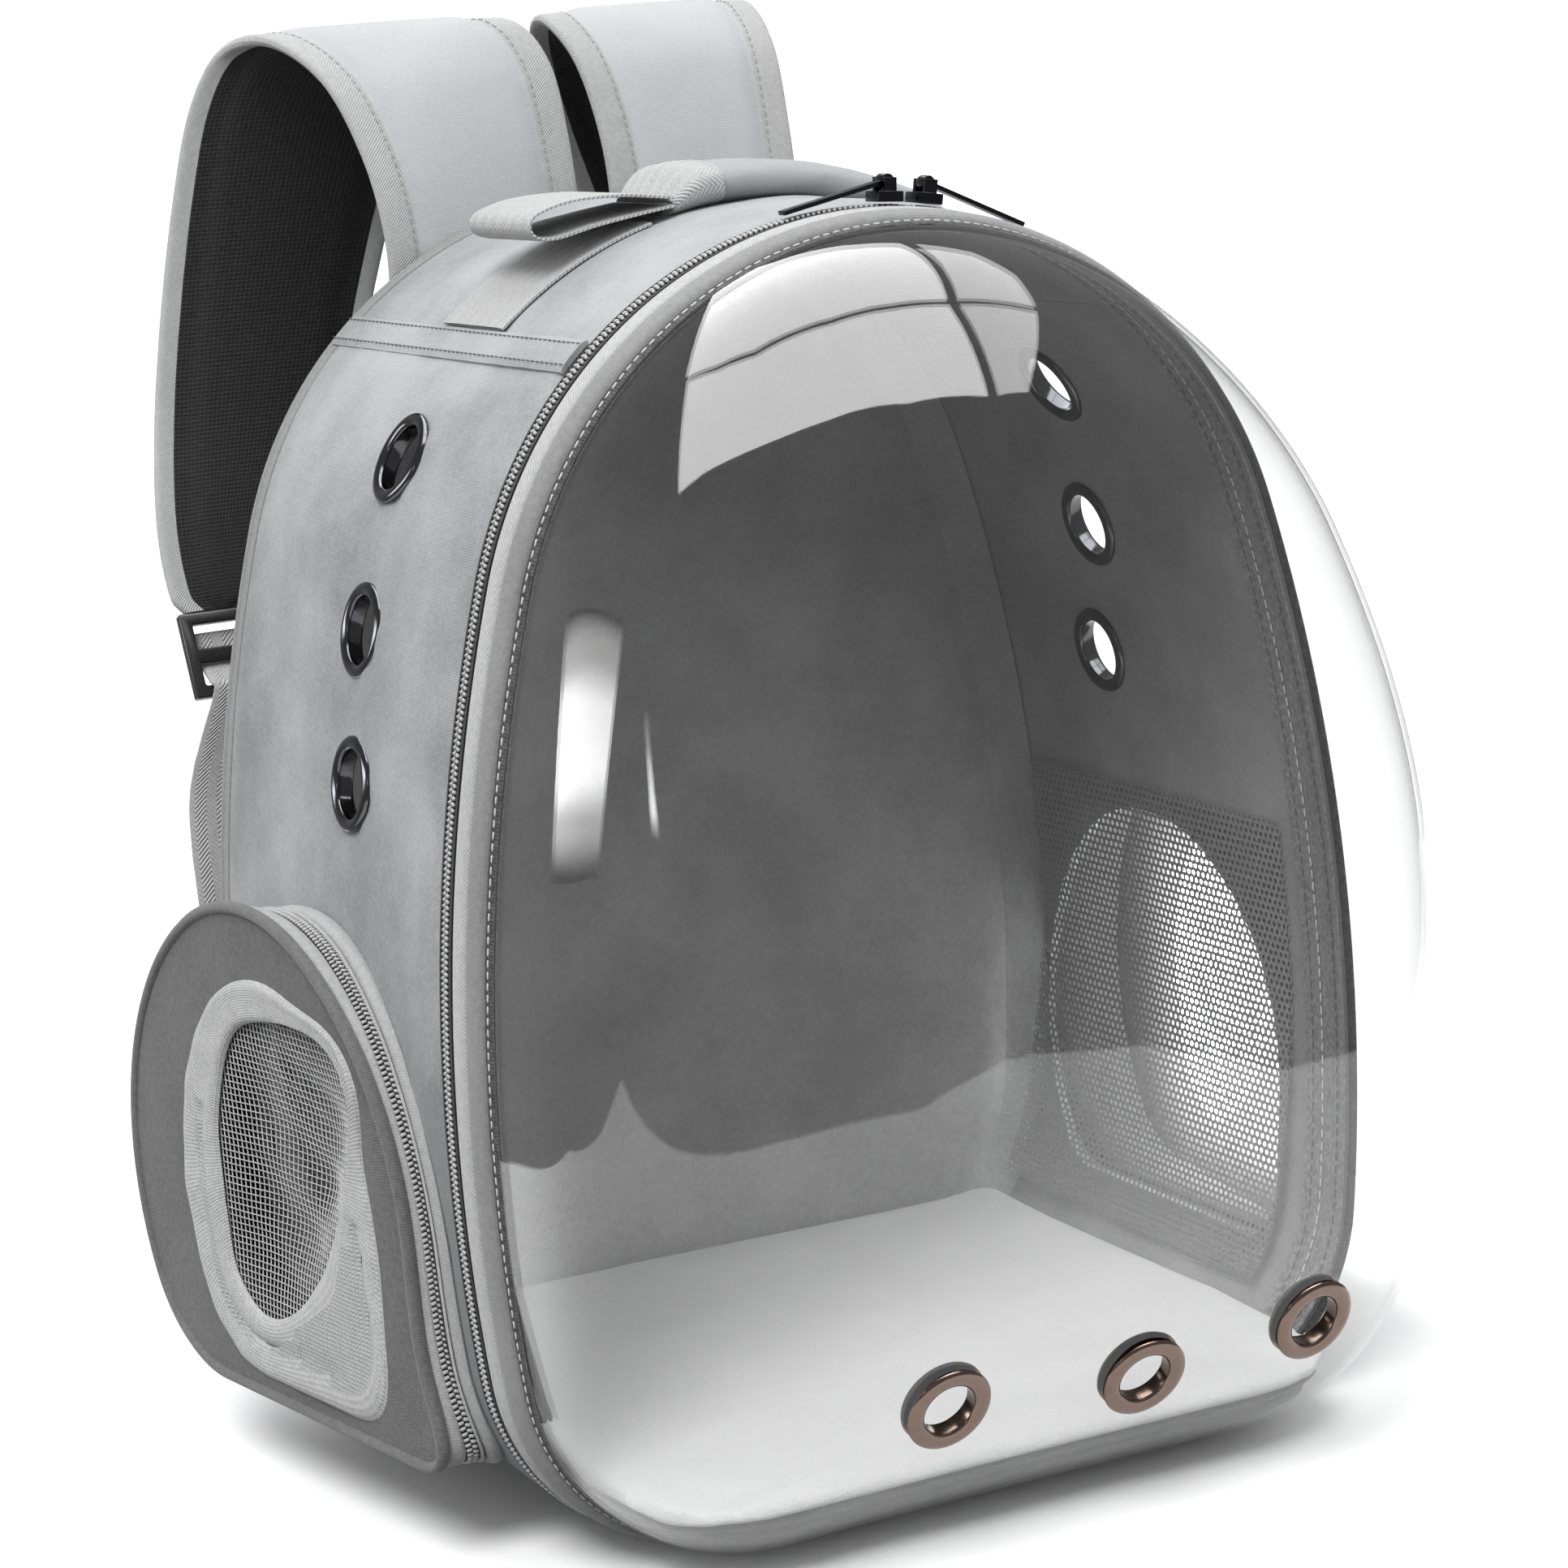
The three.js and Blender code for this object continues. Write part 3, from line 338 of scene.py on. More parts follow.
class Look:
    """A short way to write a node tree."""

    def __init__(self, name):
        self.material = bpy.data.materials.new(name)
        self.material.use_nodes = True
        self.tree = self.material.node_tree
        self.shader = self.tree.nodes["Principled BSDF"]
        self.coords = self.tree.nodes.new("ShaderNodeTexCoord")

    def node(self, kind, **settings):
        made = self.tree.nodes.new("ShaderNode" + kind)
        for key, value in settings.items():
            setattr(made, key, value)
        return made

    def feed(self, socket, value):
        if isinstance(value, bpy.types.NodeSocket):
            self.tree.links.new(value, socket)
        else:
            socket.default_value = value

    def math(self, operation, a, b=0.0, c=0.0, clamp=False):
        made = self.node("Math", operation=operation, use_clamp=clamp)
        for socket, value in zip(made.inputs, (a, b, c)):
            self.feed(socket, value)
        return made.outputs[0]

    def scaled(self, scale, source="Object"):
        made = self.node("Mapping")
        self.feed(made.inputs["Vector"], self.coords.outputs[source])
        made.inputs["Scale"].default_value = (scale,) * 3 if isinstance(scale, (int, float)) else scale
        return made.outputs[0]

    def noise(self, scale, detail=2.0, rough=0.5, source="Object", stretch=(1, 1, 1)):
        made = self.node("TexNoise")
        self.feed(made.inputs["Vector"], self.scaled(tuple(1000 * s for s in stretch), source))
        made.inputs["Scale"].default_value = scale
        made.inputs["Detail"].default_value = detail
        made.inputs["Roughness"].default_value = rough
        return made.outputs["Fac"]

    def axes(self, source="UV"):
        made = self.node("SeparateXYZ")
        self.feed(made.inputs[0], self.scaled(1000, source))
        return made.outputs

    def mix(self, share, a, b):
        made = self.node("Mix", data_type="RGBA")
        self.feed(made.inputs[0], share)
        self.feed(made.inputs[6], a)
        self.feed(made.inputs[7], b)
        return made.outputs[2]

    def range(self, value, low, high, to_low, to_high):
        made = self.node("MapRange")
        for key, number in zip(("From Min", "From Max", "To Min", "To Max"), (low, high, to_low, to_high)):
            made.inputs[key].default_value = number
        self.feed(made.inputs["Value"], value)
        return made.outputs[0]

    def bump(self, height, distance_mm, strength=1.0):
        made = self.node("Bump")
        made.inputs["Strength"].default_value = strength
        made.inputs["Distance"].default_value = distance_mm * MM
        self.feed(made.inputs["Height"], height)
        self.feed(self.shader.inputs["Normal"], made.outputs[0])
        return made

    def wave(self, axis_value, pitch):
        """A sine of a length in millimetres, from 0 to 1."""
        turned = self.math("MULTIPLY", axis_value, 2 * math.pi / pitch)
        return self.math("MULTIPLY_ADD", self.math("SINE", turned), 0.5, 0.5)

    def set(self, **values):
        for key, value in values.items():
            self.feed(self.shader.inputs[key.replace("_", " ")], value)
        return self


def grey(value, tint=(1, 1, 1)):
    return tuple(value * t for t in tint) + (1,)


def weave(look, kind, pitch, source):
    """The height of a cloth's threads, from 0 to 1."""
    u, v, w = look.axes(source)
    if kind == "plain":
        if source == "Object":
            u = look.math("ADD", u, v)
            v = w
        return look.math("MULTIPLY", look.wave(u, pitch), look.wave(v, pitch))
    if kind == "twill":
        return look.wave(look.math("ADD", u, v), pitch)
    zigzag = look.math("PINGPONG", v, pitch * 2.4)
    return look.wave(look.math("ADD", u, zigzag), pitch)


def cloth(name, light, dark, kind="plain", pitch=0.9, source="UV", clouds=0.5, speckle=0.5, height=0.12,
          tint=(1, 1, 1), rough=0.85, sheen=0.25, fall=0.0):
    """Woven cloth: soft clouds, fine speckle and its threads' relief. A fall paints shade on it: darker
    towards its foot and lighter towards its top.
    """
    look = Look(name)
    threads = weave(look, kind, pitch, source)
    soft = look.noise(0.018, 3, 0.55)
    fine = look.noise(0.55, 2, 0.6)
    share = look.math("MULTIPLY_ADD", look.range(soft, 0.3, 0.7, -1, 1), 0.5 * clouds, 0.5)
    share = look.math("MULTIPLY_ADD", look.range(fine, 0.3, 0.7, -1, 1), 0.5 * speckle, share)
    # Painted shade: darker below half height and lighter above it, as light from above would fall.
    if fall:
        rise = look.math("SUBTRACT", look.axes("Object")[2], HALF_HEIGHT)
        share = look.math("MULTIPLY_ADD", rise, fall / HALF_HEIGHT, share)
    share = look.math("MULTIPLY_ADD", look.math("SUBTRACT", threads, 0.5), 0.25, share, clamp=True)
    colour = look.mix(share, grey(dark, tint), grey(light, tint))
    look.set(Base_Color=colour, Roughness=rough)
    look.shader.inputs["Sheen Weight"].default_value = sheen
    look.shader.inputs["Sheen Roughness"].default_value = 0.5
    relief = look.math("MULTIPLY_ADD", fine, 0.6, threads)
    look.bump(relief, height)
    return look.material


def metal(name, colour, rough, wear=0.08):
    look = Look(name)
    streak = look.noise(0.35, 3, 0.6)
    look.set(Base_Color=look.mix(streak, grey(0.75, colour), grey(1.0, colour)), Metallic=1.0)
    look.set(Roughness=look.range(streak, 0.3, 0.7, rough, rough + wear))
    look.bump(look.noise(1.2, 2, 0.5), 0.01)
    return look.material


def plastic(name, value, rough):
    look = Look(name)
    grain = look.noise(1.5, 3, 0.6)
    look.set(Base_Color=look.mix(grain, grey(value * 0.8), grey(value * 1.2)))
    look.set(Roughness=look.range(grain, 0.3, 0.7, rough, rough + 0.1))
    look.bump(grain, 0.03)
    return look.material


def clear_sheet(name):
    """Thin clear sheet: what is behind shows through, and its gloss is added by angle."""
    look = Look(name)
    tree = look.tree
    through = look.node("BsdfTransparent")
    through.inputs["Color"].default_value = (0.965, 0.966, 0.964, 1)
    gloss = look.node("BsdfGlossy")
    gloss.inputs["Roughness"].default_value = 0.02
    gloss.inputs["Color"].default_value = (1, 1, 1, 1)
    facing = look.node("Fresnel")
    geometry = look.node("NewGeometry")
    look.feed(facing.inputs["IOR"], look.range(geometry.outputs["Backfacing"], 0, 1, 1.5, 1 / 1.5))
    made = look.node("MixShader")
    tree.links.new(facing.outputs[0], made.inputs[0])
    tree.links.new(through.outputs[0], made.inputs[1])
    tree.links.new(gloss.outputs[0], made.inputs[2])
    tree.nodes.remove(look.shader)
    tree.links.new(made.outputs[0], tree.nodes["Material Output"].inputs["Surface"])
    return look.material


def plush_look():
    look = Look("plush_pile")
    tuft = look.noise(0.9, 4, 0.7)
    soft = look.noise(0.03, 3, 0.5)
    shade = look.math("MULTIPLY_ADD", tuft, 0.5, look.math("MULTIPLY", soft, 0.5))
    look.set(Base_Color=look.mix(shade, grey(0.66), grey(0.93)), Roughness=0.95)
    look.shader.inputs["Sheen Weight"].default_value = 0.5
    look.shader.inputs["Sheen Roughness"].default_value = 0.6
    look.bump(tuft, 0.9)
    return look.material


def stitch_look(name, value):
    look = Look(name)
    twist = look.wave(look.axes("Object")[0], 0.5)
    look.set(Base_Color=look.mix(twist, grey(value * 0.75), grey(value)), Roughness=0.7)
    look.bump(twist, 0.05)
    return look.material


COOL = (0.972, 0.988, 1.022)
# The height about which a cloth's painted shade from its fall turns from darker to lighter.
HALF_HEIGHT = 230
# The outer shell's fall paints shade on it: darker at its foot, lighter at its crown.
shell_outer = cloth("shell_outer", 0.38, 0.17, pitch=0.8, clouds=0.8, speckle=0.3, tint=COOL, fall=0.42)
shell_inner = cloth("shell_inner", 0.36, 0.23, pitch=0.8, source="Object", clouds=0.9, speckle=0.4, sheen=0.1)
dark_cloth = cloth("dark_cloth", 0.105, 0.055, pitch=0.9, clouds=0.4, speckle=0.9)
roll_cloth = cloth("roll_cloth", 0.27, 0.19, pitch=0.7, clouds=0.4, speckle=0.6)
band_twill = cloth("band_twill", 0.50, 0.37, kind="twill", pitch=1.4, clouds=0.2, speckle=0.7, height=0.2)
felt = cloth("felt", 0.50, 0.37, pitch=1.3, clouds=0.2, speckle=0.9, height=0.25)
# The pouch zips' own black tape. It also colours the painted shadow lines along the front zip.
tape_black = cloth("tape_black", 0.05, 0.025, kind="twill", pitch=1.0, clouds=0.1, speckle=0.4, sheen=0.0)
web = cloth("web", 0.50, 0.36, kind="herringbone", pitch=1.7, clouds=0.2, speckle=0.5, height=0.35)
strap_face = cloth("strap_face", 0.48, 0.40, pitch=0.6, clouds=0.6, speckle=0.25, tint=COOL, height=0.08)
strap_binding = cloth("strap_binding", 0.46, 0.35, kind="twill", pitch=1.1, clouds=0.2, speckle=0.6,
                      height=0.18)
strap_lining = cloth("strap_lining", 0.018, 0.008, pitch=1.6, clouds=0.2, speckle=0.6, height=0.3, sheen=0.0)
grip_face = cloth("grip_face", 0.36, 0.27, pitch=0.6, source="Object", clouds=0.6, speckle=0.3, tint=COOL,
                  height=0.08)
net_light = cloth("net_light", 0.54, 0.40, pitch=0.4, source="Object", clouds=0.1, speckle=0.4)
net_dark = cloth("net_dark", 0.30, 0.20, pitch=0.4, source="Object", clouds=0.2, speckle=0.4)
plush = plush_look()
gunmetal = metal("gunmetal", (0.10, 0.10, 0.11), 0.10)
bronze = metal("bronze", (0.20, 0.145, 0.12), 0.14)
black_metal = metal("black_metal", (0.035, 0.035, 0.04), 0.18)
coil_nylon = plastic("coil_nylon", 0.42, 0.35)
black_plastic = plastic("black_plastic", 0.02, 0.25)
clear = clear_sheet("clear_sheet")
rim_cloth = cloth("rim_cloth", 0.10, 0.03, pitch=1.2, clouds=0.2, speckle=1.0, height=0.3, sheen=0.0)
rim_speckle = cloth("rim_speckle", 0.40, 0.22, pitch=0.9, clouds=0.2, speckle=1.0, height=0.3, sheen=0.0)
zip_grey = cloth("zip_grey", 0.30, 0.20, kind="twill", pitch=1.0, clouds=0.2, speckle=0.6)
fine_net = cloth("fine_net", 0.52, 0.24, pitch=1.5, source="Object", clouds=0.1, speckle=0.3, height=0.3)
# The floor pad's base and skirt: a dark underside, made near black as painted shade for the shadowed strip
# below the cushion.
pad_edge = cloth("pad_edge", 0.035, 0.015, pitch=1.2, clouds=0.3, speckle=0.8, sheen=0.0)
pouch_light = cloth("pouch_light", 0.42, 0.31, pitch=1.0, clouds=0.3, speckle=0.7)
# The pouches' inner lining, darkened to near black: painted shade for their dim insides behind the nets.
lining = cloth("lining", 0.055, 0.03, pitch=1.0, clouds=0.3, speckle=0.4, sheen=0.0)
piping_cloth = cloth("piping_cloth", 0.16, 0.09, pitch=0.9, clouds=0.4, speckle=0.6)
dark_cloth_solid = cloth("dark_cloth_solid", 0.15, 0.085, pitch=0.9, source="Object", clouds=0.4, speckle=0.7)
thread_light = stitch_look("thread_light", 0.72)
thread_dark = stitch_look("thread_dark", 0.16)
thread_mid = stitch_look("thread_mid", 0.38)


def done(thing, slot, *nodes, body="pack"):
    if nodes:
        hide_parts(*nodes)
    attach(thing, body)
    return thing


def stitches(places, material, length=2.6, pitch=3.6, width=0.55):
    """Dashes of thread along places that lie on the cloth, each with its outward normal."""
    places = np.asarray(places, float)
    points, normals = places[:, :3], places[:, 3:]
    s = np.concatenate([[0], np.cumsum(np.linalg.norm(np.diff(points, axis=0), axis=1))])
    spots = np.arange(pitch / 2, s[-1], pitch)
    rows = []
    for spot in spots:
        at = np.array([np.interp(spot, s, points[:, i]) for i in range(3)])
        ahead = np.array([np.interp(min(spot + 1, s[-1]), s, points[:, i]) for i in range(3)])
        behind = np.array([np.interp(max(spot - 1, 0), s, points[:, i]) for i in range(3)])
        along = (ahead - behind) / max(np.linalg.norm(ahead - behind), 1e-6)
        out = np.array([np.interp(spot, s, normals[:, i]) for i in range(3)])
        out -= along * (out @ along)
        out /= max(np.linalg.norm(out), 1e-6)
        rows.append((at, (along, np.cross(out, along), out)))
    return copies("stitches", pill(length, width, width * 0.8, 5), rows, material)


def inflate(thing, voxel, pressure, reach, fixed=None):
    """Cloth simulation of a pad's cover, run here and kept in the mesh. Points move no further than a reach.

    fixed(x, y, z) is true where the cover is sewn down."""
    remesh = thing.modifiers.new("even", "REMESH")
    remesh.mode = "VOXEL"
    remesh.voxel_size = voxel * MM
    apply_modifiers(thing)
    count = len(thing.data.vertices)
    rest = np.empty(count * 3)
    thing.data.vertices.foreach_get("co", rest)
    rest = rest.reshape(-1, 3)
    cover = thing.modifiers.new("cover", "CLOTH")
    settings = cover.settings
    settings.quality = 5
    settings.use_pressure = True
    settings.uniform_pressure_force = pressure
    settings.effector_weights.gravity = 0
    settings.tension_stiffness = settings.compression_stiffness = 20
    settings.bending_stiffness = 2
    cover.point_cache.frame_start = 1
    cover.point_cache.frame_end = SIM_FRAMES
    if fixed is not None:
        group = thing.vertex_groups.new(name="sewn")
        group.add([k for k, place in enumerate(rest / MM) if fixed(*place)], 1.0, "REPLACE")
        settings.vertex_group_mass = "sewn"
    scene = bpy.context.scene
    for number in range(1, SIM_FRAMES + 1):
        scene.frame_set(number)
    shown = thing.evaluated_get(bpy.context.evaluated_depsgraph_get())
    moved = np.empty(count * 3)
    shown.data.vertices.foreach_get("co", moved)
    moved = moved.reshape(-1, 3) - rest
    far = np.linalg.norm(moved, axis=1, keepdims=True)
    capped = rest + moved * np.minimum(1, reach * MM / np.maximum(far, 1e-9))
    thing.modifiers.clear()
    thing.data.vertices.foreach_set("co", capped.ravel())
    scene.frame_set(1)
    finer = thing.modifiers.new("finer", "SUBSURF")
    finer.levels = finer.render_levels = 1
    apply_modifiers(thing)
    thing.data.shade_smooth()
    return thing


# Vent rings, turned from a rounded profile

VENT_RING = {"hole": 11.2, "flange": 16, "lip": 1.8, "outer": WALL / 2 + GAP, "inner": 2.0}
DOME_RING = {"hole": 9.0, "flange": 14.8, "lip": 1.6, "outer": DOME_WALL / 2 + GAP, "inner": 3.2}
RING_BARREL = 1.2
VENT_HOLE = 12.4
DOME_HOLE = 10.2


def node_middle(node):
    low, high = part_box(node)
    return np.array((low + high) / 2) / MM


def solid_points(node):
    return np.array([v.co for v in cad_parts[node].data.vertices], float)


def solid_axis(node, towards):
    """The direction of a ring's axis, as the thinnest direction of its solid."""
    points = solid_points(node)
    centred = points - points.mean(0)
    _, _, axes = np.linalg.svd(centred, full_matrices=False)
    axis = axes[2]
    return axis if axis @ np.array(towards) > 0 else -axis


def ring_middle(node, axis, reach):
    """The ring's middle on its axis, a reach behind the outer lip of its solid."""
    points = solid_points(node) / MM
    along = points @ axis
    lip = points[along > along.max() - 0.05]
    return lip.mean(0) - axis * reach


def ring_profile(hole, flange, lip, outer, inner):
    """A closed (radius, height) outline with a rounded lip on each face."""
    middle = (hole + flange) / 2
    half = (flange - hole) / 2
    turns = np.linspace(0, math.pi, 15)
    top = [(middle + half * math.cos(t), outer + lip * math.sin(t)) for t in turns]
    foot = [(middle + half * math.cos(t), -inner - lip * math.sin(t)) for t in turns[-2::-1]]
    barrel = [(hole + RING_BARREL, -inner), (hole + RING_BARREL, outer)]
    return top + [(hole, -inner)] + foot + barrel


def vent_ring(name, node, material, slot, towards, size, steps=56):
    axis = Vector(solid_axis(node, towards)).normalized()
    side = axis.orthogonal().normalized()
    other = axis.cross(side)
    profile = ring_profile(**size)
    rings = []
    for k in range(steps):
        turn = 2 * math.pi * k / steps
        spoke = side * math.cos(turn) + other * math.sin(turn)
        rings.append([tuple(spoke * r + axis * h) for r, h in profile])
    thing = grid(name, rings, [material], closed_u=True, closed_v=True, angle=50)
    middle = ring_middle(node, np.array(axis), size["outer"] + size["lip"])
    thing.data.transform(Matrix.Translation(Vector(middle) * MM))
    return done(thing, slot, node)


def build_rings():
    for name, side in SIDES:
        for number in "123":
            node = f"vent_ring_{name}_{number}"
            vent_ring(f"eyelet_{name}_{number}", node, gunmetal, "gunmetal_ring", (side, 0, 0), VENT_RING)
    for number in "123":
        vent_ring(f"dome_eyelet_{number}", f"dome_ring_{number}", bronze, "bronze_ring", FORWARD, DOME_RING)


def ring_hole(node, towards, radius, length=40):
    """A cutter through the middle of a ring's solid, along its axis."""
    bpy.ops.mesh.primitive_cylinder_add(
        vertices=48, radius=radius * MM, depth=length * MM, location=Vector(node_middle(node)) * MM
    )
    tool = bpy.context.object
    tool.rotation_mode = "QUATERNION"
    tool.rotation_quaternion = Vector((0, 0, 1)).rotation_difference(Vector(solid_axis(node, towards)))
    return tool


# Shell


# The spacing of the panels' points round the shell.
PANEL_STEP = 3.6


def shell_relief(point, vents):
    """How far the padded cloth stands in or out at a place: soft waves, and a dimple round each ring."""
    relief = 1.7 * ripple(point, 70, 3.1) + 0.6 * ripple(point, 24, 7.7)
    for vent in vents:
        away = float(np.linalg.norm(np.array(point) - vent))
        if away < 60:
            turn = math.atan2(point[2] - vent[2], point[1] - vent[1])
            pull = math.exp(-((away - 14) / 13) ** 2) if away > 14 else 1.0
            relief += -1.1 * pull + 0.35 * pull * math.sin(7 * turn + vent[2])
    return relief


def panel_sheet(name, first, last, side, vents, puff):
    """A padded panel of the shell between two turns, with its outer and inner faces."""
    run = Run([shell.station(turn) for turn in np.linspace(first, last, 240)])
    rows = run.spread(PANEL_STEP) * (side, 1, side, 1)
    ys = np.linspace(FRONT_EDGE, SHELL_BACK, 56)
    n = len(rows)
    outer, inner = [], []
    for i, row in enumerate(rows):
        edge_u = min(i, n - 1 - i) * PANEL_STEP if row[1] > 20 else 99
        line_out, line_in = [], []
        for y in ys:
            edge = min(edge_u, y - FRONT_EDGE, SHELL_BACK - y)
            room = ease(edge / 14)
            base = shell_point(row, 0, y)
            lift = room * (puff + shell_relief(base, vents)) - 0.8 * (1 - ease(edge / 3))
            if row[1] < 30:
                lift *= row[1] / 30
            line_out.append(shell_point(row, lift, y))
            line_in.append(shell_point(row, -WALL + 0.3 * room * ripple(base, 40, 9.2), y))
        outer.append(line_out)
        inner.append(line_in)
    rings = [a + b[::-1] for a, b in zip(outer, inner)]
    m = len(ys)
    return grid(name, rings, [shell_outer, shell_inner], closed_v=True, caps=True,
                material_of=lambda i, j: 0 if j < m - 1 else 1)


def outline_tool(rows, side, x_from, x_to):
    rings = [[(side * x, row[0], row[1]) for row in rows[::3]] for x in (x_from, x_to)]
    return grid("tool", rings, [], closed_v=True, caps=True)


def mouth_outline():
    centre = np.array(MOUTH_CENTRE)
    return centre + MOUTH_SHARE * (pouch_base()[:, :2] - centre)


def build_sides():
    for name, side in SIDES:
        nodes = [f"vent_ring_{name}_{number}" for number in "123"]
        vents = [node_middle(node) for node in nodes]
        panel = panel_sheet(f"side_cloth_{name}", -90, SEAM_TURN - 0.1, side, vents, 1.4)
        tools = [ring_hole(node, (side, 0, 0), VENT_HOLE) for node in nodes]
        tools.append(outline_tool(mouth_outline(), side, 100, 170))
        cut(panel, tools)
        done(panel, "shell_fabric", f"side_panel_{name}")
    top = panel_sheet("top_cloth", SEAM_TURN + 0.1, 180 - SEAM_TURN - 0.1, 1, [], 1.2)
    done(top, "shell_fabric", "top_panel")


def build_seams():
    half = math.degrees(SEAM_STRIP / 2 / shell.crown[2])
    for name, side in SIDES:
        run = Run([shell.station(turn) for turn in np.linspace(SEAM_TURN - half, SEAM_TURN + half, 30)])
        rows = run.spread(1.0) * (side, 1, side, 1)
        ys = np.linspace(FRONT_EDGE + 0.6, SHELL_BACK, 90)
        rings_out = []
        n = len(rows)
        for y in ys:
            line = []
            for i, row in enumerate(rows):
                edge = min(i, n - 1 - i) / (n - 1)
                lift = 1.3 + 0.8 * ease(edge * 6) + 0.25 * ripple((row[0], y, row[1]), 14, 1.3)
                line.append(shell_point(row, lift, y))
            back = [shell_point(row, 0.2, y) for row in rows[::-1]]
            rings_out.append(line + back)
        strip = grid(f"seam_tape_{name}", rings_out, [shell_outer], closed_v=True, caps=True)
        lines = []
        for share in (0.17, 0.83):
            row = run.at(share * run.length) * (side, 1, side, 1)
            places = [shell_point(row, 2.35, y) + [row[2], 0, row[3]] for y in ys]
            lines.append(stitches(places, thread_dark))
        done(join(f"seam_tape_{name}", [strip] + lines), "twill", f"shoulder_seam_{name}")


def round_section(out_low, out_high, y_from, y_to, steps=10):
    """A flat-backed section with a rounded outer face, as (out, y) places."""
    arc = []
    for t in np.linspace(0, math.pi, steps + 1):
        flat = math.copysign(abs(math.cos(t)) ** 0.7, math.cos(t))
        y = (y_from + y_to) / 2 - (y_to - y_from) / 2 * flat
        arc.append((out_low + (out_high - out_low) * math.sin(t) ** 0.6, y))
    return arc


def build_piping():
    rows = shell_run.spread(3)
    edge = SHELL_BACK
    round_edge = [(-1.2 + 2.6 * math.cos(t), edge + 1.8 + 2.6 * math.sin(t)) for t in round_turns(12)]
    piping = sweep("back_piping_roll", rows, round_edge, [roll_cloth])
    flat = [(-0.2, edge - 4.5), (0.7, edge - 4), (0.7, edge + 1), (-0.2, edge + 1)]
    flange = sweep("flange", rows, flat, [roll_cloth])
    done(join("back_piping_roll", [piping, flange]), "dark_fabric", "back_piping")


# Cross channels of the back pad: a middle between two of them, their spacing, and the stretch they lie in.
CHANNELS = {"middle": 150, "pitch": 110, "low": 40, "high": 380}


def from_channel(z):
    """How far a height lies from the nearest cross channel."""
    return (z - CHANNELS["middle"]) % CHANNELS["pitch"] - CHANNELS["pitch"] / 2


def in_channels(z):
    return CHANNELS["low"] < z < CHANNELS["high"]


def build_back_pad():
    low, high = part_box("back_panel")
    y_front, y_back = low.y / MM, high.y / MM
    run = shell_run.moved(-(WALL + GAP))
    rows = run.spread(4)
    levels = np.concatenate([np.linspace(1, 0.86, 6), np.linspace(0.8, 0.06, 16)])

    def ring(share, y, puff):
        points = []
        for u, v, _, _ in rows:
            x, z = share * u, DOME_CENTRE + share * (v - DOME_CENTRE)
            bulge = puff * back_pad_height(x, z, share)
            points.append((x, y + bulge, z))
        return points

    rings = [ring(share, y_back, 1.0) for share in levels[::-1]]
    rings += [ring(1, (y_front + y_back) / 2, 0)]
    rings += [ring(share, y_front, -0.12) for share in levels]
    board = grid("back_pad", rings, [dark_cloth_solid, shell_inner], closed_v=True, caps=True)

    def sewn(x, y, z):
        if y < y_back - 0.5:
            return True
        in_channel = abs(x) < 7 or (in_channels(z) and abs(from_channel(z)) < 4)
        at_side = shell.half_width(min(max(z, 1), 418), -14) < abs(x)
        return in_channel or at_side or z < 16 or z > 404

    inflate(board, 5, 4, 3.5, sewn)
    inside = [0 if face.center.y / MM > y_front + 2 else 1 for face in board.data.polygons]
    board.data.polygons.foreach_set("material_index", inside)
    done(board, "dark_fabric", "back_panel")


def back_pad_height(x, z, share):
    """Two padded columns with a channel between them, and a cross channel, as sewn."""
    edge = ease((1 - share) / 0.16)
    column = 1 - math.exp(-(x / 9) ** 2)
    cross = 1 - math.exp(-(from_channel(z) / 6) ** 2) * in_channels(z)
    return edge * (0.8 + 4.2 * column * cross + 0.4 * ripple((x, 0, z), 30, 2.2))


# Front rim

ZIP_BACK = FRONT_EDGE - GAP
ZIP_FRONT = ZIP_BACK - ZIP_WIDTH
BAND_BACK = ZIP_FRONT - GAP
BAND_FRONT = BAND_BACK - BAND_WIDTH
ROLL_BACK = BAND_FRONT - GAP
ROLL_FRONT = ROLL_BACK - ROLL_WIDTH
# The underside of the band and the roll, out from the shell's outline.
RIM_BACKING = -2.8
COIL_PITCH = 1.9
COIL_TOOTH = pill(2.0, 1.35, 1.3, 5)


def inset_at(y):
    """How far the rim is drawn in at a place along it."""
    return RIM_INSET * ((FRONT_EDGE - y) / RIM_FORWARD) ** 2


def on_rim(section):
    return [(out - inset_at(y), y) for out, y in section]


def tooth(place, wide, along, out, lean):
    """A zip tooth's place and axes: across the tape, with a lean along it."""
    cross = np.array(wide) + lean * along
    cross /= np.linalg.norm(cross)
    return place, (cross, np.cross(out, cross), out)


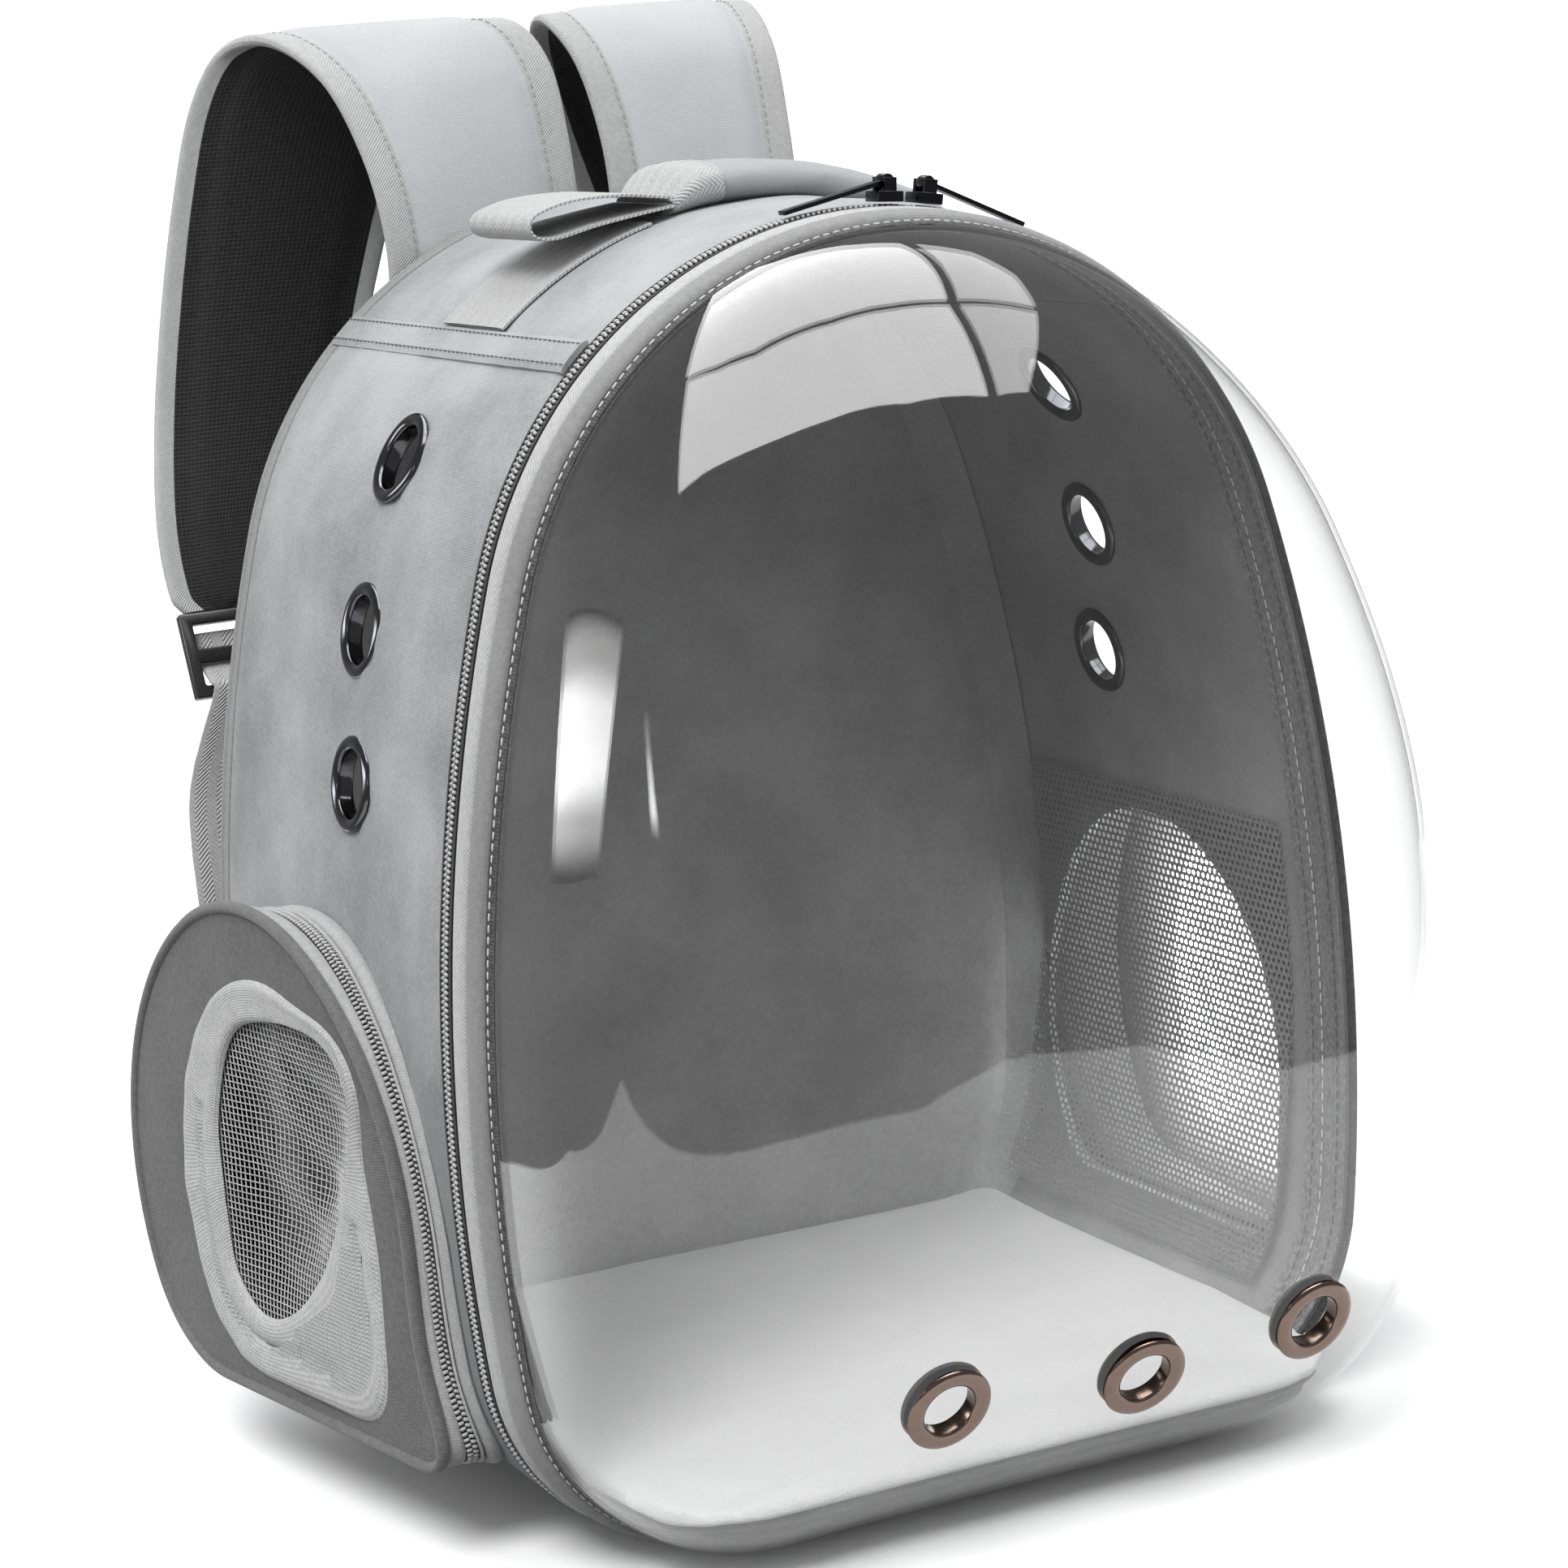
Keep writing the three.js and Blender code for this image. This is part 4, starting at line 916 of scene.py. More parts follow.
def build_zip():
    rows = shell_run.spread(3)
    inset = inset_at(ZIP_FRONT)
    tape = sweep("front_zip_tape", rows, [
        (-0.9, ZIP_BACK + 0.6), (-0.4, ZIP_BACK - 1.2), (-0.7 - inset, ZIP_FRONT + 1.0),
        (-1.2 - inset, ZIP_FRONT - 0.6), (-2.6 - inset, ZIP_FRONT - 0.6), (-2.6, ZIP_BACK + 0.6),
    ], [zip_grey])
    middle = (ZIP_BACK + ZIP_FRONT) / 2
    teeth = []
    count = 2 * int(shell_run.length / COIL_PITCH)
    for k in range(count):
        half = 1 if k % 2 else -1
        row = shell_run.at((k + 0.25 * half) * shell_run.length / count)
        along = np.array((-row[3], 0, row[2]))
        out = np.array((row[2], 0, row[3]))
        place = np.array(shell_point(row, 0.2 - inset_at(middle), middle + half * 1.15))
        teeth.append(tooth(place, (0, 1, 0), along, out, 0.3 * half))
    coil = copies("coil", COIL_TOOTH, teeth, coil_nylon)
    lines = []
    # Three black ridges, at the tape's two edges and its middle, are painted shadow: dark lines for the shade
    # in the gaps.
    for y in (ZIP_BACK - 0.4, middle, ZIP_FRONT + 0.6):
        ridge = ((0.15, -0.55), (0.35, 0), (0.15, 0.55), (-0.8, 0))
        section = [(out - inset_at(y), y + step) for out, step in ridge]
        lines.append(sweep("shadow", rows, section, [tape_black]))
    done(join("front_zip_tape", [tape, coil] + lines), "zip_tape", "front_zip")


def build_band():
    face = round_section(-1.6, 0.9, BAND_FRONT + 0.3, BAND_BACK - 0.3)
    backing = [(RIM_BACKING, BAND_BACK - 0.3), (RIM_BACKING, BAND_FRONT + 0.3)]
    band = sweep("front_band_twill", shell_run.spread(3), on_rim(face + backing), [band_twill])
    done(band, "twill", "front_band")


def build_roll():
    """The rolled edge with its lip and stitches, and the ribbed lining inside the rim."""
    rows = shell_run.spread(3)
    ribs = []
    for k, y in enumerate(np.linspace(ZIP_BACK + 3, ROLL_FRONT + 0.5, 15)):
        ribs.append((-3.1 - inset_at(y) - (0.7 if k % 2 else 0.2), y))
    rim_lining = sweep("rim_lining", rows, ribs + [(out + 0.5, y) for out, y in ribs[::-1]], [rim_speckle])
    face = round_section(-1.2, 2.1, ROLL_FRONT + 1.2, ROLL_BACK - 0.5, 12)
    backing = [(RIM_BACKING, ROLL_BACK - 0.5), (RIM_BACKING, ROLL_FRONT + 1.2)]
    roll = sweep("front_roll_edge", rows, on_rim(face + backing), [roll_cloth])
    lip_section = ((-0.6, 2.4), (0.5, 2.2), (0.3, -2.4), (-0.3, -3.2), (-0.9, -2.4))
    lip_places = [(out - RIM_INSET, ROLL_FRONT + step) for out, step in lip_section]
    lip = sweep("lip", rows, lip_places, [rim_cloth])
    places = [shell_point(row, 0.55 - RIM_INSET, ROLL_FRONT - 0.8) + [row[2], 0, row[3]] for row in rows]
    lines = [stitches(places + places[:1], thread_light, 2.4, 3.6, 0.7), rim_lining]
    inner_rows = shell_run.spread(4)
    seams = ((ZIP_BACK - 3, thread_dark), (BAND_BACK - 1, thread_light), (ROLL_BACK - 4, thread_dark))
    for y, thread in seams:
        depth = -4.1 - inset_at(y)
        places = [shell_point(row, depth, y) + [-row[2], 0, -row[3]] for row in inner_rows]
        lines.append(stitches(places, thread, 3.0, 4.4, 0.7))
    done(join("front_roll_edge", [roll, lip] + lines), "dark_fabric", "front_roll")


# Dome


def dome_y(direction, share, depth):
    end = DOME_POWER["crown"] if direction > 0 else DOME_POWER["foot"]
    power = DOME_POWER["side"] + (end - DOME_POWER["side"]) * (1 - (1 - direction**2) ** DOME_POWER["turn"])
    return FRONT_EDGE - RIM_FORWARD - depth * (1 - share**power) ** (1 / power)


def dome_skin(out, depth, shares, step=5):
    rows = shell_run.moved(out).spread(step)
    rings = []
    for share in shares:
        ring = []
        for u, v, _, _ in rows:
            z = v - DOME_CENTRE
            ring.append((share * u, dome_y(z / math.hypot(u, z), share, depth), DOME_CENTRE + share * z))
        rings.append(ring)
    return rings


def build_dome():
    shares = [1 - (1 - t) ** 2.2 for t in np.linspace(1, 0.015, 44)]
    outer = dome_skin(-RIM_INSET, DOME_DEPTH, shares)
    inner = dome_skin(-RIM_INSET - DOME_WALL, DOME_DEPTH - DOME_WALL, shares)
    count = min(len(outer[0]), len(inner[0]))
    rings = [ring[:count] for ring in outer[::-1]] + [ring[:count] for ring in inner]
    dome = grid("clear_dome", rings, [clear], closed_v=True, caps=True)
    cut(dome, [ring_hole(f"dome_ring_{number}", FORWARD, DOME_HOLE, 30) for number in "123"])
    done(dome, "clear_shell", "dome")


# Pouches

# The lower front corner runs forward to a toe, as in the frame.
TOE = {"panel": 49, "base": 34, "frame": 26}
TOE_HEIGHT = 85
TOE_BEND = 3.4
BASE_FLARE = 7
# The net shows through a slanting hole in the felt: (y, z) round it.
NET_HOLE = [
    (35, 98), (34, 128), (18, 159), (-10, 168), (-42, 167), (-57, 152),
    (-52, 124), (-32, 90), (-8, 68), (14, 62), (31, 74),
]
NET_CENTRE = (-8, 120)
POUCH_BANDS = {"strip": 0.31, "edge": 0.40, "tape": 0.64}
PANEL_THICKNESS = 2
# The felt: its least width, the width from which a finer net fills it, that net's rim, and its seam.
FELT = {"least": 6.5, "wide": 22, "rim": 6, "seam": 13}
NET_PITCH = 2.3
# How far the net's grid reaches from its centre, along the pouch and up.
NET_SPAN = ((-62, 52), (-66, 58))


def panel_x(y):
    return SHELL["width"] / 2 + POUCH_STAND_OFF + POUCH_LEAN * y


def wall_x(z):
    return shell.half_width(max(z, 1)) + 2 * GAP


def matched(arch, place, out=0, toe=0, flare=0, turns=170, flat=24):
    """(y, z, ny, nz) places round an arch, at the same turns for every arch.

    The front half moves forward by a flare, and its foot by a toe."""
    rows = [arch.station(turn)[:2] for turn in np.linspace(-90, 270, turns)]
    foot_u = arch.foot[0]
    rows += [(u, 0) for u in np.linspace(-foot_u, foot_u, flat + 2)[1:-1]]
    places = []
    for u, v in rows:
        front = ease((foot_u - u) / (2 * foot_u))
        low = max(1 - v / TOE_HEIGHT, 0) ** TOE_BEND
        places.append((place[0] + u - front * (flare + toe * low), place[1] + v))
    places = np.array(places)
    along = np.roll(places, -1, 0) - np.roll(places, 1, 0)
    along /= np.linalg.norm(along, axis=1, keepdims=True)
    normals = np.stack([along[:, 1], -along[:, 0]], -1)
    return np.hstack([places + out * normals, normals])


def pouch_base(out=0):
    return matched(pouch_arch, BASE_PLACE, out, TOE["base"], BASE_FLARE)


def pouch_top(out=0):
    return matched(pouch_arch, POUCH_PLACE, out, TOE["panel"])


def radii(outline, centre, turns):
    """How far an outline lies from a centre, in each direction."""
    d = outline[:, :2] - np.array(centre)
    angle = np.arctan2(d[:, 1], d[:, 0])
    order = np.argsort(angle)
    return np.interp(turns, angle[order], np.hypot(d[:, 0], d[:, 1])[order], period=2 * math.pi)


def gusset_point(side, base, top, share, lift):
    y = base[0] + (top[0] - base[0]) * share + lift * base[2]
    z = base[1] + (top[1] - base[1]) * share + lift * base[3]
    x_wall, x_top = wall_x(base[1]), panel_x(top[0]) - PANEL_THICKNESS - GAP
    return (side * (x_wall + (x_top - x_wall) * share), y, z)


def gusset_band(name, side, section, materials, **more):
    bases, tops = pouch_base(), pouch_top()
    rings = []
    for base, top in zip(bases, tops):
        soft = 0.35 * ripple((side * 40, base[0], base[1]), 16, 4.4)
        rings.append([gusset_point(side, base, top, share, lift + (soft if lift > 0.5 else 0))
                      for share, lift in section])
    return grid(name, rings, materials, closed_u=True, closed_v=True, **more)


def build_gusset(side, name):
    strip, tape = POUCH_BANDS["strip"], POUCH_BANDS["tape"]
    outer = [(0, 0.2), (0.03, 1.6), (0.09, 2.5), (0.17, 2.7), (0.25, 2.2), (strip - 0.02, 1.3), (strip, 0.1),
             (tape, 0.1), (tape + 0.02, 1.2), (0.74, 2.0), (0.84, 2.1), (0.94, 1.5), (0.99, 0.6), (1, 0)]
    last = len(outer) - 1
    # The gusset's inner face takes the near-black lining, painted shade inside the pouch.
    gusset = gusset_band(f"gusset_cloth_{name}", side, outer + [(1, -1.8), (0, -1.8)], [pouch_light, lining],
                         material_of=lambda i, j: 1 if j > last else 0)
    done(gusset, "shell_fabric", f"pouch_gusset_{name}")


def build_pouch_zip(side, name):
    strip, edge, tape = (POUCH_BANDS[part] for part in ("strip", "edge", "tape"))
    tape_strip = gusset_band("tape", side, [(strip + 0.01, 0.25), (strip + 0.01, 0.7), (tape - 0.01, 0.7),
                                            (tape - 0.01, 0.25)], [tape_black])
    light_edge = gusset_band("edge", side, [(strip + 0.02, 0.75), (strip + 0.03, 1.5), (strip + 0.05, 1.9),
                                            (edge - 0.02, 1.9), (edge, 1.4), (edge, 0.75)], [band_twill])
    middle = (edge + tape) / 2 + 0.01
    spots = [(*gusset_point(side, base, top, middle, 1.2), base[2], base[3])
             for base, top in zip(pouch_base(), pouch_top())]
    line = Run([spot[1:] for spot in spots], True)
    xs = [spot[0] for spot in spots + spots[:1]]
    teeth = []
    count = 2 * int(line.length / COIL_PITCH)
    for k in range(count):
        half = 1 if k % 2 else -1
        s = k * line.length / count
        y, z, ny, nz = line.at(s)
        out = np.array((0, ny, nz)) / math.hypot(ny, nz)
        along = np.array((0, -nz, ny)) / math.hypot(ny, nz)
        place = np.array((np.interp(s, line.s, xs) + side * half, y, z))
        teeth.append(tooth(place, (side, 0, 0), along, out, 0.25 * half))
    coil = copies("coil", COIL_TOOTH, teeth, coil_nylon)
    done(join(f"pouch_zip_track_{name}", [tape_strip, light_edge, coil]), "twill", f"pouch_zip_{name}")


def build_pouch(side, name):
    build_gusset(side, name)
    build_pouch_zip(side, name)
    build_pouch_panel(side, name)
    build_window(side, name)
    build_inner_mesh(side, name)


def build_pouch_panel(side, name):
    outer_rows = pouch_top()
    away = outer_rows[:, :2] - np.array(NET_CENTRE)
    turns = np.arctan2(away[:, 1], away[:, 0])
    reach = (net_hole_radii(turns) + 3)[:, None]
    hole_rows = np.array(NET_CENTRE) + reach * np.stack([np.cos(turns), np.sin(turns)], -1)
    shares = np.linspace(0, 1, 16)

    def skin(depth, puff):
        rings = []
        for share in shares:
            ring = []
            for hole, edge in zip(hole_rows, outer_rows):
                y = hole[0] + (edge[0] - hole[0]) * share
                z = hole[1] + (edge[1] - hole[1]) * share
                swell = puff * (0.8 * math.sin(math.pi * share) + 0.5 * ripple((0, y, z), 26, 6.6))
                ring.append((side * (panel_x(y) - depth + swell * ease((1 - share) * 6)), y, z))
            rings.append(ring)
        return rings

    rings = skin(0, 1) + skin(PANEL_THICKNESS, 0)[::-1]
    # The panel's inner face takes the near-black lining, painted shade inside the pouch.
    panel = grid(f"pouch_face_{name}", rings, [dark_cloth, lining], closed_u=True, closed_v=True,
                 material_of=lambda i, j: 0 if i < len(shares) else 1)
    done(panel, "dark_fabric", f"pouch_panel_{name}")

    rings = []
    for y, z, ny, nz in pouch_top(1.9):
        rings.append([(side * (panel_x(y) - 0.7 + 2.3 * math.sin(t)), y + 2.1 * math.cos(t) * ny,
                       z + 2.1 * math.cos(t) * nz) for t in round_turns(14)])
    piping = grid(f"pouch_edge_{name}", rings, [piping_cloth], closed_u=True, closed_v=True)
    done(piping, "dark_fabric", f"pouch_piping_{name}")


def net_hole_radii(turns):
    return radii(curve_through(NET_HOLE + NET_HOLE[:1], 2.0), NET_CENTRE, turns)


def build_window(side, name):
    """Felt round the net, broad at the lower front, where a finer net fills it up to a seam."""
    turns = np.linspace(-math.pi, math.pi, 241)[:-1]
    inner_reach = net_hole_radii(turns)
    frame_rows = matched(frame_arch, FRAME_PLACE, 0, TOE["frame"])
    outer_reach = np.maximum(radii(frame_rows, NET_CENTRE, turns), inner_reach + FELT["least"])
    outer_reach = sum(np.roll(outer_reach, k) for k in range(-6, 7)) / 13
    section = [(0, 0.2), (0.02, 1.3), (0.08, 2.1), (0.2, 2.3), (0.32, 2.2), (0.44, 2.2), (0.56, 2.2),
               (0.68, 2.2), (0.8, 2.4), (0.9, 2.2), (0.97, 1.5), (1, 0.3)]
    rings, widths = [], []
    for turn, low, high in zip(turns, inner_reach, outer_reach):
        ring = []
        width = high - low
        for share, lift in section:
            reach = low + width * share
            y, z = NET_CENTRE[0] + reach * math.cos(turn), NET_CENTRE[1] + reach * math.sin(turn)
            soft = 0.55 * ripple((0, y, z), 13, 2.9) if lift > 1 else 0
            from_seam = high - reach - FELT["seam"]
            seam = -1.3 * math.exp(-(from_seam / 1.6) ** 2) if width > FELT["wide"] else 0
            ring.append((side * (panel_x(y) + lift + soft + seam), y, z))
        rings.append(ring)
        widths.append(width)

    def kind(i, j):
        if widths[i] < FELT["wide"] or j >= len(section) - 1:
            return 0
        reach = section[j][0] * widths[i]
        return 1 if FELT["rim"] < reach < widths[i] - FELT["seam"] else 0

    ring = grid(f"window_felt_{name}", rings, [felt, fine_net], closed_u=True, closed_v=True,
                material_of=kind)
    done(ring, "twill", f"window_ring_{name}")

    net = window_net(side)
    net.name = f"window_net_{name}"
    done(net, "net", f"window_mesh_{name}")


def window_net(side):
    """Square net as bars along every cell edge, sagging into the pouch and puckered at its front."""
    hole_turns = np.linspace(-math.pi, math.pi, 361)[:-1]
    reach = net_hole_radii(hole_turns)
    ys, zs = (np.arange(middle + low, middle + high, NET_PITCH)
              for middle, (low, high) in zip(NET_CENTRE, NET_SPAN))
    index, points, faces = {}, [], []
    for i, y in enumerate(ys):
        for j, z in enumerate(zs):
            away = math.hypot(y - NET_CENTRE[0], z - NET_CENTRE[1])
            turn = math.atan2(z - NET_CENTRE[1], y - NET_CENTRE[0])
            edge = np.interp(turn, hole_turns, reach, period=2 * math.pi)
            if away > edge + 4:
                continue
            room = ease((1.05 - away / edge) / 0.75)
            front = ease((18 - y) / 70)
            sag = 9.0 * room * (0.45 + 0.55 * front)
            crease = 1.6 * room * math.exp(-((z - 150 - 0.45 * (y + 10)) / 5) ** 2)
            pucker = (0.4 + 0.8 * front) * room * math.sin(0.22 * (z - 0.5 * y) + 1.4)
            drift = -2.2 * room * front
            index[i, j] = len(points)
            x = panel_x(y) - 1.0 - sag + crease + pucker
            points.append((side * x, y + drift, z - 3.0 * room * front))
    for i, j in index:
        corners = [(i, j), (i + 1, j), (i + 1, j + 1), (i, j + 1)]
        if all(corner in index for corner in corners):
            faces.append(tuple(index[corner] for corner in corners))
    net = mesh_piece("net", points, faces, None, [net_light])
    wires = net.modifiers.new("wires", "WIREFRAME")
    wires.thickness = 0.62 * MM
    wires.use_even_offset = False
    return apply_modifiers(net)


INNER_MESH = {"front": -92, "back": 78, "low": 27, "high": 195, "pitch": 3.1, "hole": 1.0}


def build_inner_mesh(side, name):
    """A sheet with staggered round holes over the pouch mouth, inside the cabin."""
    low_turn, high_turn = shell.turn_at(INNER_MESH["low"]), shell.turn_at(INNER_MESH["high"])
    run = Run([shell.station(turn) for turn in np.linspace(low_turn, high_turn, 200)])
    pitch = INNER_MESH["pitch"]
    rise = pitch * math.sqrt(3) / 2
    front, back = INNER_MESH["front"], INNER_MESH["back"]
    rows_count = int(run.length / rise)
    count = int((back - front) / pitch) - 1
    points, faces = [], []
    hexagon = [(math.cos(t), math.sin(t)) for t in (math.radians(30 + 60 * k) for k in range(6))]

    def place(s, y):
        u, v, nu, nv = run.at(s)
        share_s, share_y = s / run.length, (y - front) / (back - front)
        room = math.sin(math.pi * min(max(share_s, 0), 1)) * math.sin(math.pi * min(max(share_y, 0), 1))
        low = ease((150 - v) / 110)
        back_edge = ease((share_y - 0.55) / 0.45)
        hang = 9 * low * (0.5 + 0.5 * back_edge) + 3 * back_edge
        sag = 2.0 * room + 2.2 * room * ripple((0, y, v), 40, 5.2) + hang
        out = -WALL - GAP - 0.4 - max(sag, 0)
        return (side * (u + out * nu), y, v + out * nv)

    for r in range(rows_count):
        for c in range(count):
            s = (r + 0.6) * rise
            y = front + pitch * (c + 0.75 + 0.5 * (r % 2))
            start = len(points)
            for reach in (pitch / math.sqrt(3), INNER_MESH["hole"]):
                points += [place(s + reach * hv, y + reach * hu) for hu, hv in hexagon]
            for k in range(6):
                ahead = (k + 1) % 6
                faces.append((start + k, start + ahead, start + 6 + ahead, start + 6 + k))
    mesh = mesh_piece(f"mouth_net_{name}", points, faces, None, [net_dark])
    weld = mesh.modifiers.new("weld", "WELD")
    weld.merge_threshold = 0.05 * MM
    apply_modifiers(mesh)
    done(mesh, "net", f"inner_mesh_{name}")


# Floor pad

PAD_TOP = 30
PAD_BACK = SHELL_BACK - BACK_BOARD - 2
PAD_SILL = RIM_INSET + 3 + 1.5
# The cushion's foot, and its rounded edge as (z, inset).
CUSHION_FOOT = 22
CUSHION_EDGE = [(CUSHION_FOOT, 1.6), (23, 1), (24.5, 1), (26.2, 2), (27.6, 4.2), (28.6, 8)]
# The stiff base under the cushion, as (z, inset).
BASE_EDGE = [(4.0, 30), (4.0, 4.0), (6, 1.5), (PAD_SILL + 1, 0.4), (20.4, 0.4), (21.2, 1.2), (21.2, 30)]
# The skirt's levels inside the dome, and where it ends towards the rim.
SKIRT_LEVELS = (16, 13, 11, 9.4, 8)
SKIRT_BACK = -130.5


def dome_at(x, z):
    """The dome's inner face at a place seen from the front."""
    out = -RIM_INSET - DOME_WALL
    reach = max(math.hypot(x, z - DOME_CENTRE), 1e-6)
    du, dv = x / reach, (z - DOME_CENTRE) / reach
    low, high = 0.0, float(SHELL["height"])
    for _ in range(26):
        middle = (low + high) / 2
        v = DOME_CENTRE + middle * dv
        inside = -out < v < SHELL["height"] + out and abs(middle * du) < shell.half_width(max(v, 0.5), out)
        low, high = (middle, high) if inside else (low, middle)
    return dome_y(dv, min(reach / low, 1), DOME_DEPTH - DOME_WALL)


def pad_outline(z, inset, steps=60):
    """The pad's outline at a height, drawn in by an inset."""
    half = shell.half_width(z, -WALL - 0.8 - GAP - 1.5) - inset
    narrow = min(shell.half_width(z, -RIM_INSET - 3 - 1.5), half + inset) - inset
    front = []
    for k in range(steps + 1):
        x = narrow * math.cos(math.pi * k / steps)
        front.append((x, dome_at(x, max(z, PAD_SILL + 1)) + 6 + inset))
    back = PAD_BACK - inset
    step = FRONT_EDGE + 1.5
    places = [(half, min(step + 12, back))] + front + [(-half, min(step + 12, back))]
    places += [(-half, back - 6), (-half + 6, back), (half - 6, back), (half, back - 6)]
    run = Run([(x, y, 0, 0) for x, y in places], True)
    return run.at(np.arange(260) * run.length / 260)[:, :2]


def build_cushion():
    rings = [[(x, y, CUSHION_FOOT) for x, y in pad_outline(CUSHION_FOOT, 30)]]
    for z, inset in CUSHION_EDGE:
        rings.append([(x, y, z) for x, y in pad_outline(z, inset)])
    top = pad_outline(PAD_TOP, 8)
    middle = top.mean(0)
    for share in np.linspace(0.95, 0.04, 26):
        ring = []
        for x, y in top:
            px, py = middle[0] + share * (x - middle[0]), middle[1] + share * (y - middle[1])
            soft = 0.9 * ripple((px, py, 0), 38, 8.1) + 0.5 * ripple((px, py, 0), 15, 1.1)
            ring.append((px, py, PAD_TOP - 1.2 + 0.8 * soft * ease((1 - share) * 8)))
        rings.append(ring)
    cushion = grid("pad_plush", rings, [plush], closed_v=True, caps=True)
    inflate(cushion, 4, 2, 1.6, lambda x, y, z: z < CUSHION_FOOT + 1)
    done(cushion, "plush", "floor_pad")


def build_pad_base():
    """The dark base under the cushion, and its skirt in front of the sill, inside the dome. Their near-black
    colour is partly the base's own and partly painted shade for the shadowed strip below the cushion.
    """
    rings = []
    for z, inset in BASE_EDGE:
        low = z <= 9
        outline = pad_outline(max(z, 9), inset + 8 if low else inset)
        rings.append([(x, max(y, FRONT_EDGE + 2.5) if low else y, z) for x, y in outline])
    base = grid("pad_base", rings, [pad_edge], closed_v=True, caps=True)
    skirt_rings = []
    for z in SKIRT_LEVELS:
        half = shell.half_width(z, -RIM_INSET - DOME_WALL - 2.5)
        xs = [half * math.cos(math.pi * k / 60) for k in range(61)]
        front = [(x, min(dome_at(x, z) + 2.5, SKIRT_BACK - 1), z) for x in xs]
        skirt_rings.append(front + [(x, SKIRT_BACK, z) for x in xs[::-1]])
    skirt = grid("pad_skirt", skirt_rings, [pad_edge], closed_v=True, caps=True)
    done(join("pad_base", [base, skirt]), "plush", "floor_pad")


# Straps, adjusters and webbing

STRAP_THICKNESS = 7
BINDING_WIDTH = 12
# Places in from the strap's edge, and which of them the lining and the outer face start at.
STRAP_EDGE = [0, 0.4, 1.1, 2.2, 4.5, 7, 9.5, BINDING_WIDTH]
LINING_START = 5
FACE_START = 7
# Centre line from root to end: x on the left and the right, place behind the pack, rise above the crown,
# width, and how far the outer edge swings back in degrees, on the left and the right.
STRAP_ROWS = [
    (39, 50, 0, -34, 76, 0, 0),
    (39, 50, 0, -8, 76, 0, 0),
    (41, 50, 4, 20, 78, 4, 2),
    (46, 49, 14, 48, 84, 10, 4),
    (55, 48, 32, 63, 90, 18, 6),
    (66, 50, 52, 61, 90, 20, 8),
    (76, 56, 64, 42, 88, 16, 8),
    (86, 66, 70, 10, 84, 12, 6),
    (97, 80, 71, -30, 80, 8, 4),
    (108, 97, 66, -70, 76, 4, 2),
    (120, 115, 56, -105, 66, 0, 0),
    (131, 129, 46, -130, 46, 0, 0),
    (135, 135, 43, -137, 30, 0, 0),
]
STRAP_REST = SHELL_BACK + GAP + 4 + GAP
ADJUSTER = {"width": 36, "height": 32, "thickness": 4.5, "bar": 4.5, "rail": 4.5}
WEBBING_WIDTH = 25
WEBBING_THICKNESS = 1.6
# The webbing's fall below the adjuster: x, behind, z.
WEBBING_ROWS = [(148, 28, 220), (152, 17, 178), (153, 8, 136), (148, 2, 92), (139, 0, 56), (134, 0, 40)]


def strap_face_height(across, half):
    """Half thickness of the strap across its width: rounded edge, flat binding, seam, padded middle."""
    edge = half - abs(across)
    rounded = 2.1 * math.sqrt(max(1 - (1 - min(edge / 2.2, 1)) ** 2, 0))
    padding = 1.35 * ease((edge - BINDING_WIDTH) / 7)
    seam = 0.5 * math.exp(-((edge - BINDING_WIDTH) / 1.0) ** 2)
    return rounded + padding - seam


def strap_stations(half):
    """Places across the strap: edge, binding and padded middle, with as many points at every width."""
    scale = min(half / (BINDING_WIDTH + 3), 1)
    edge = [-half + reach * scale for reach in STRAP_EDGE]
    middle = np.linspace(edge[-1], -edge[-1], 27)[1:-1]
    return edge + list(middle) + [-place for place in edge[::-1]]


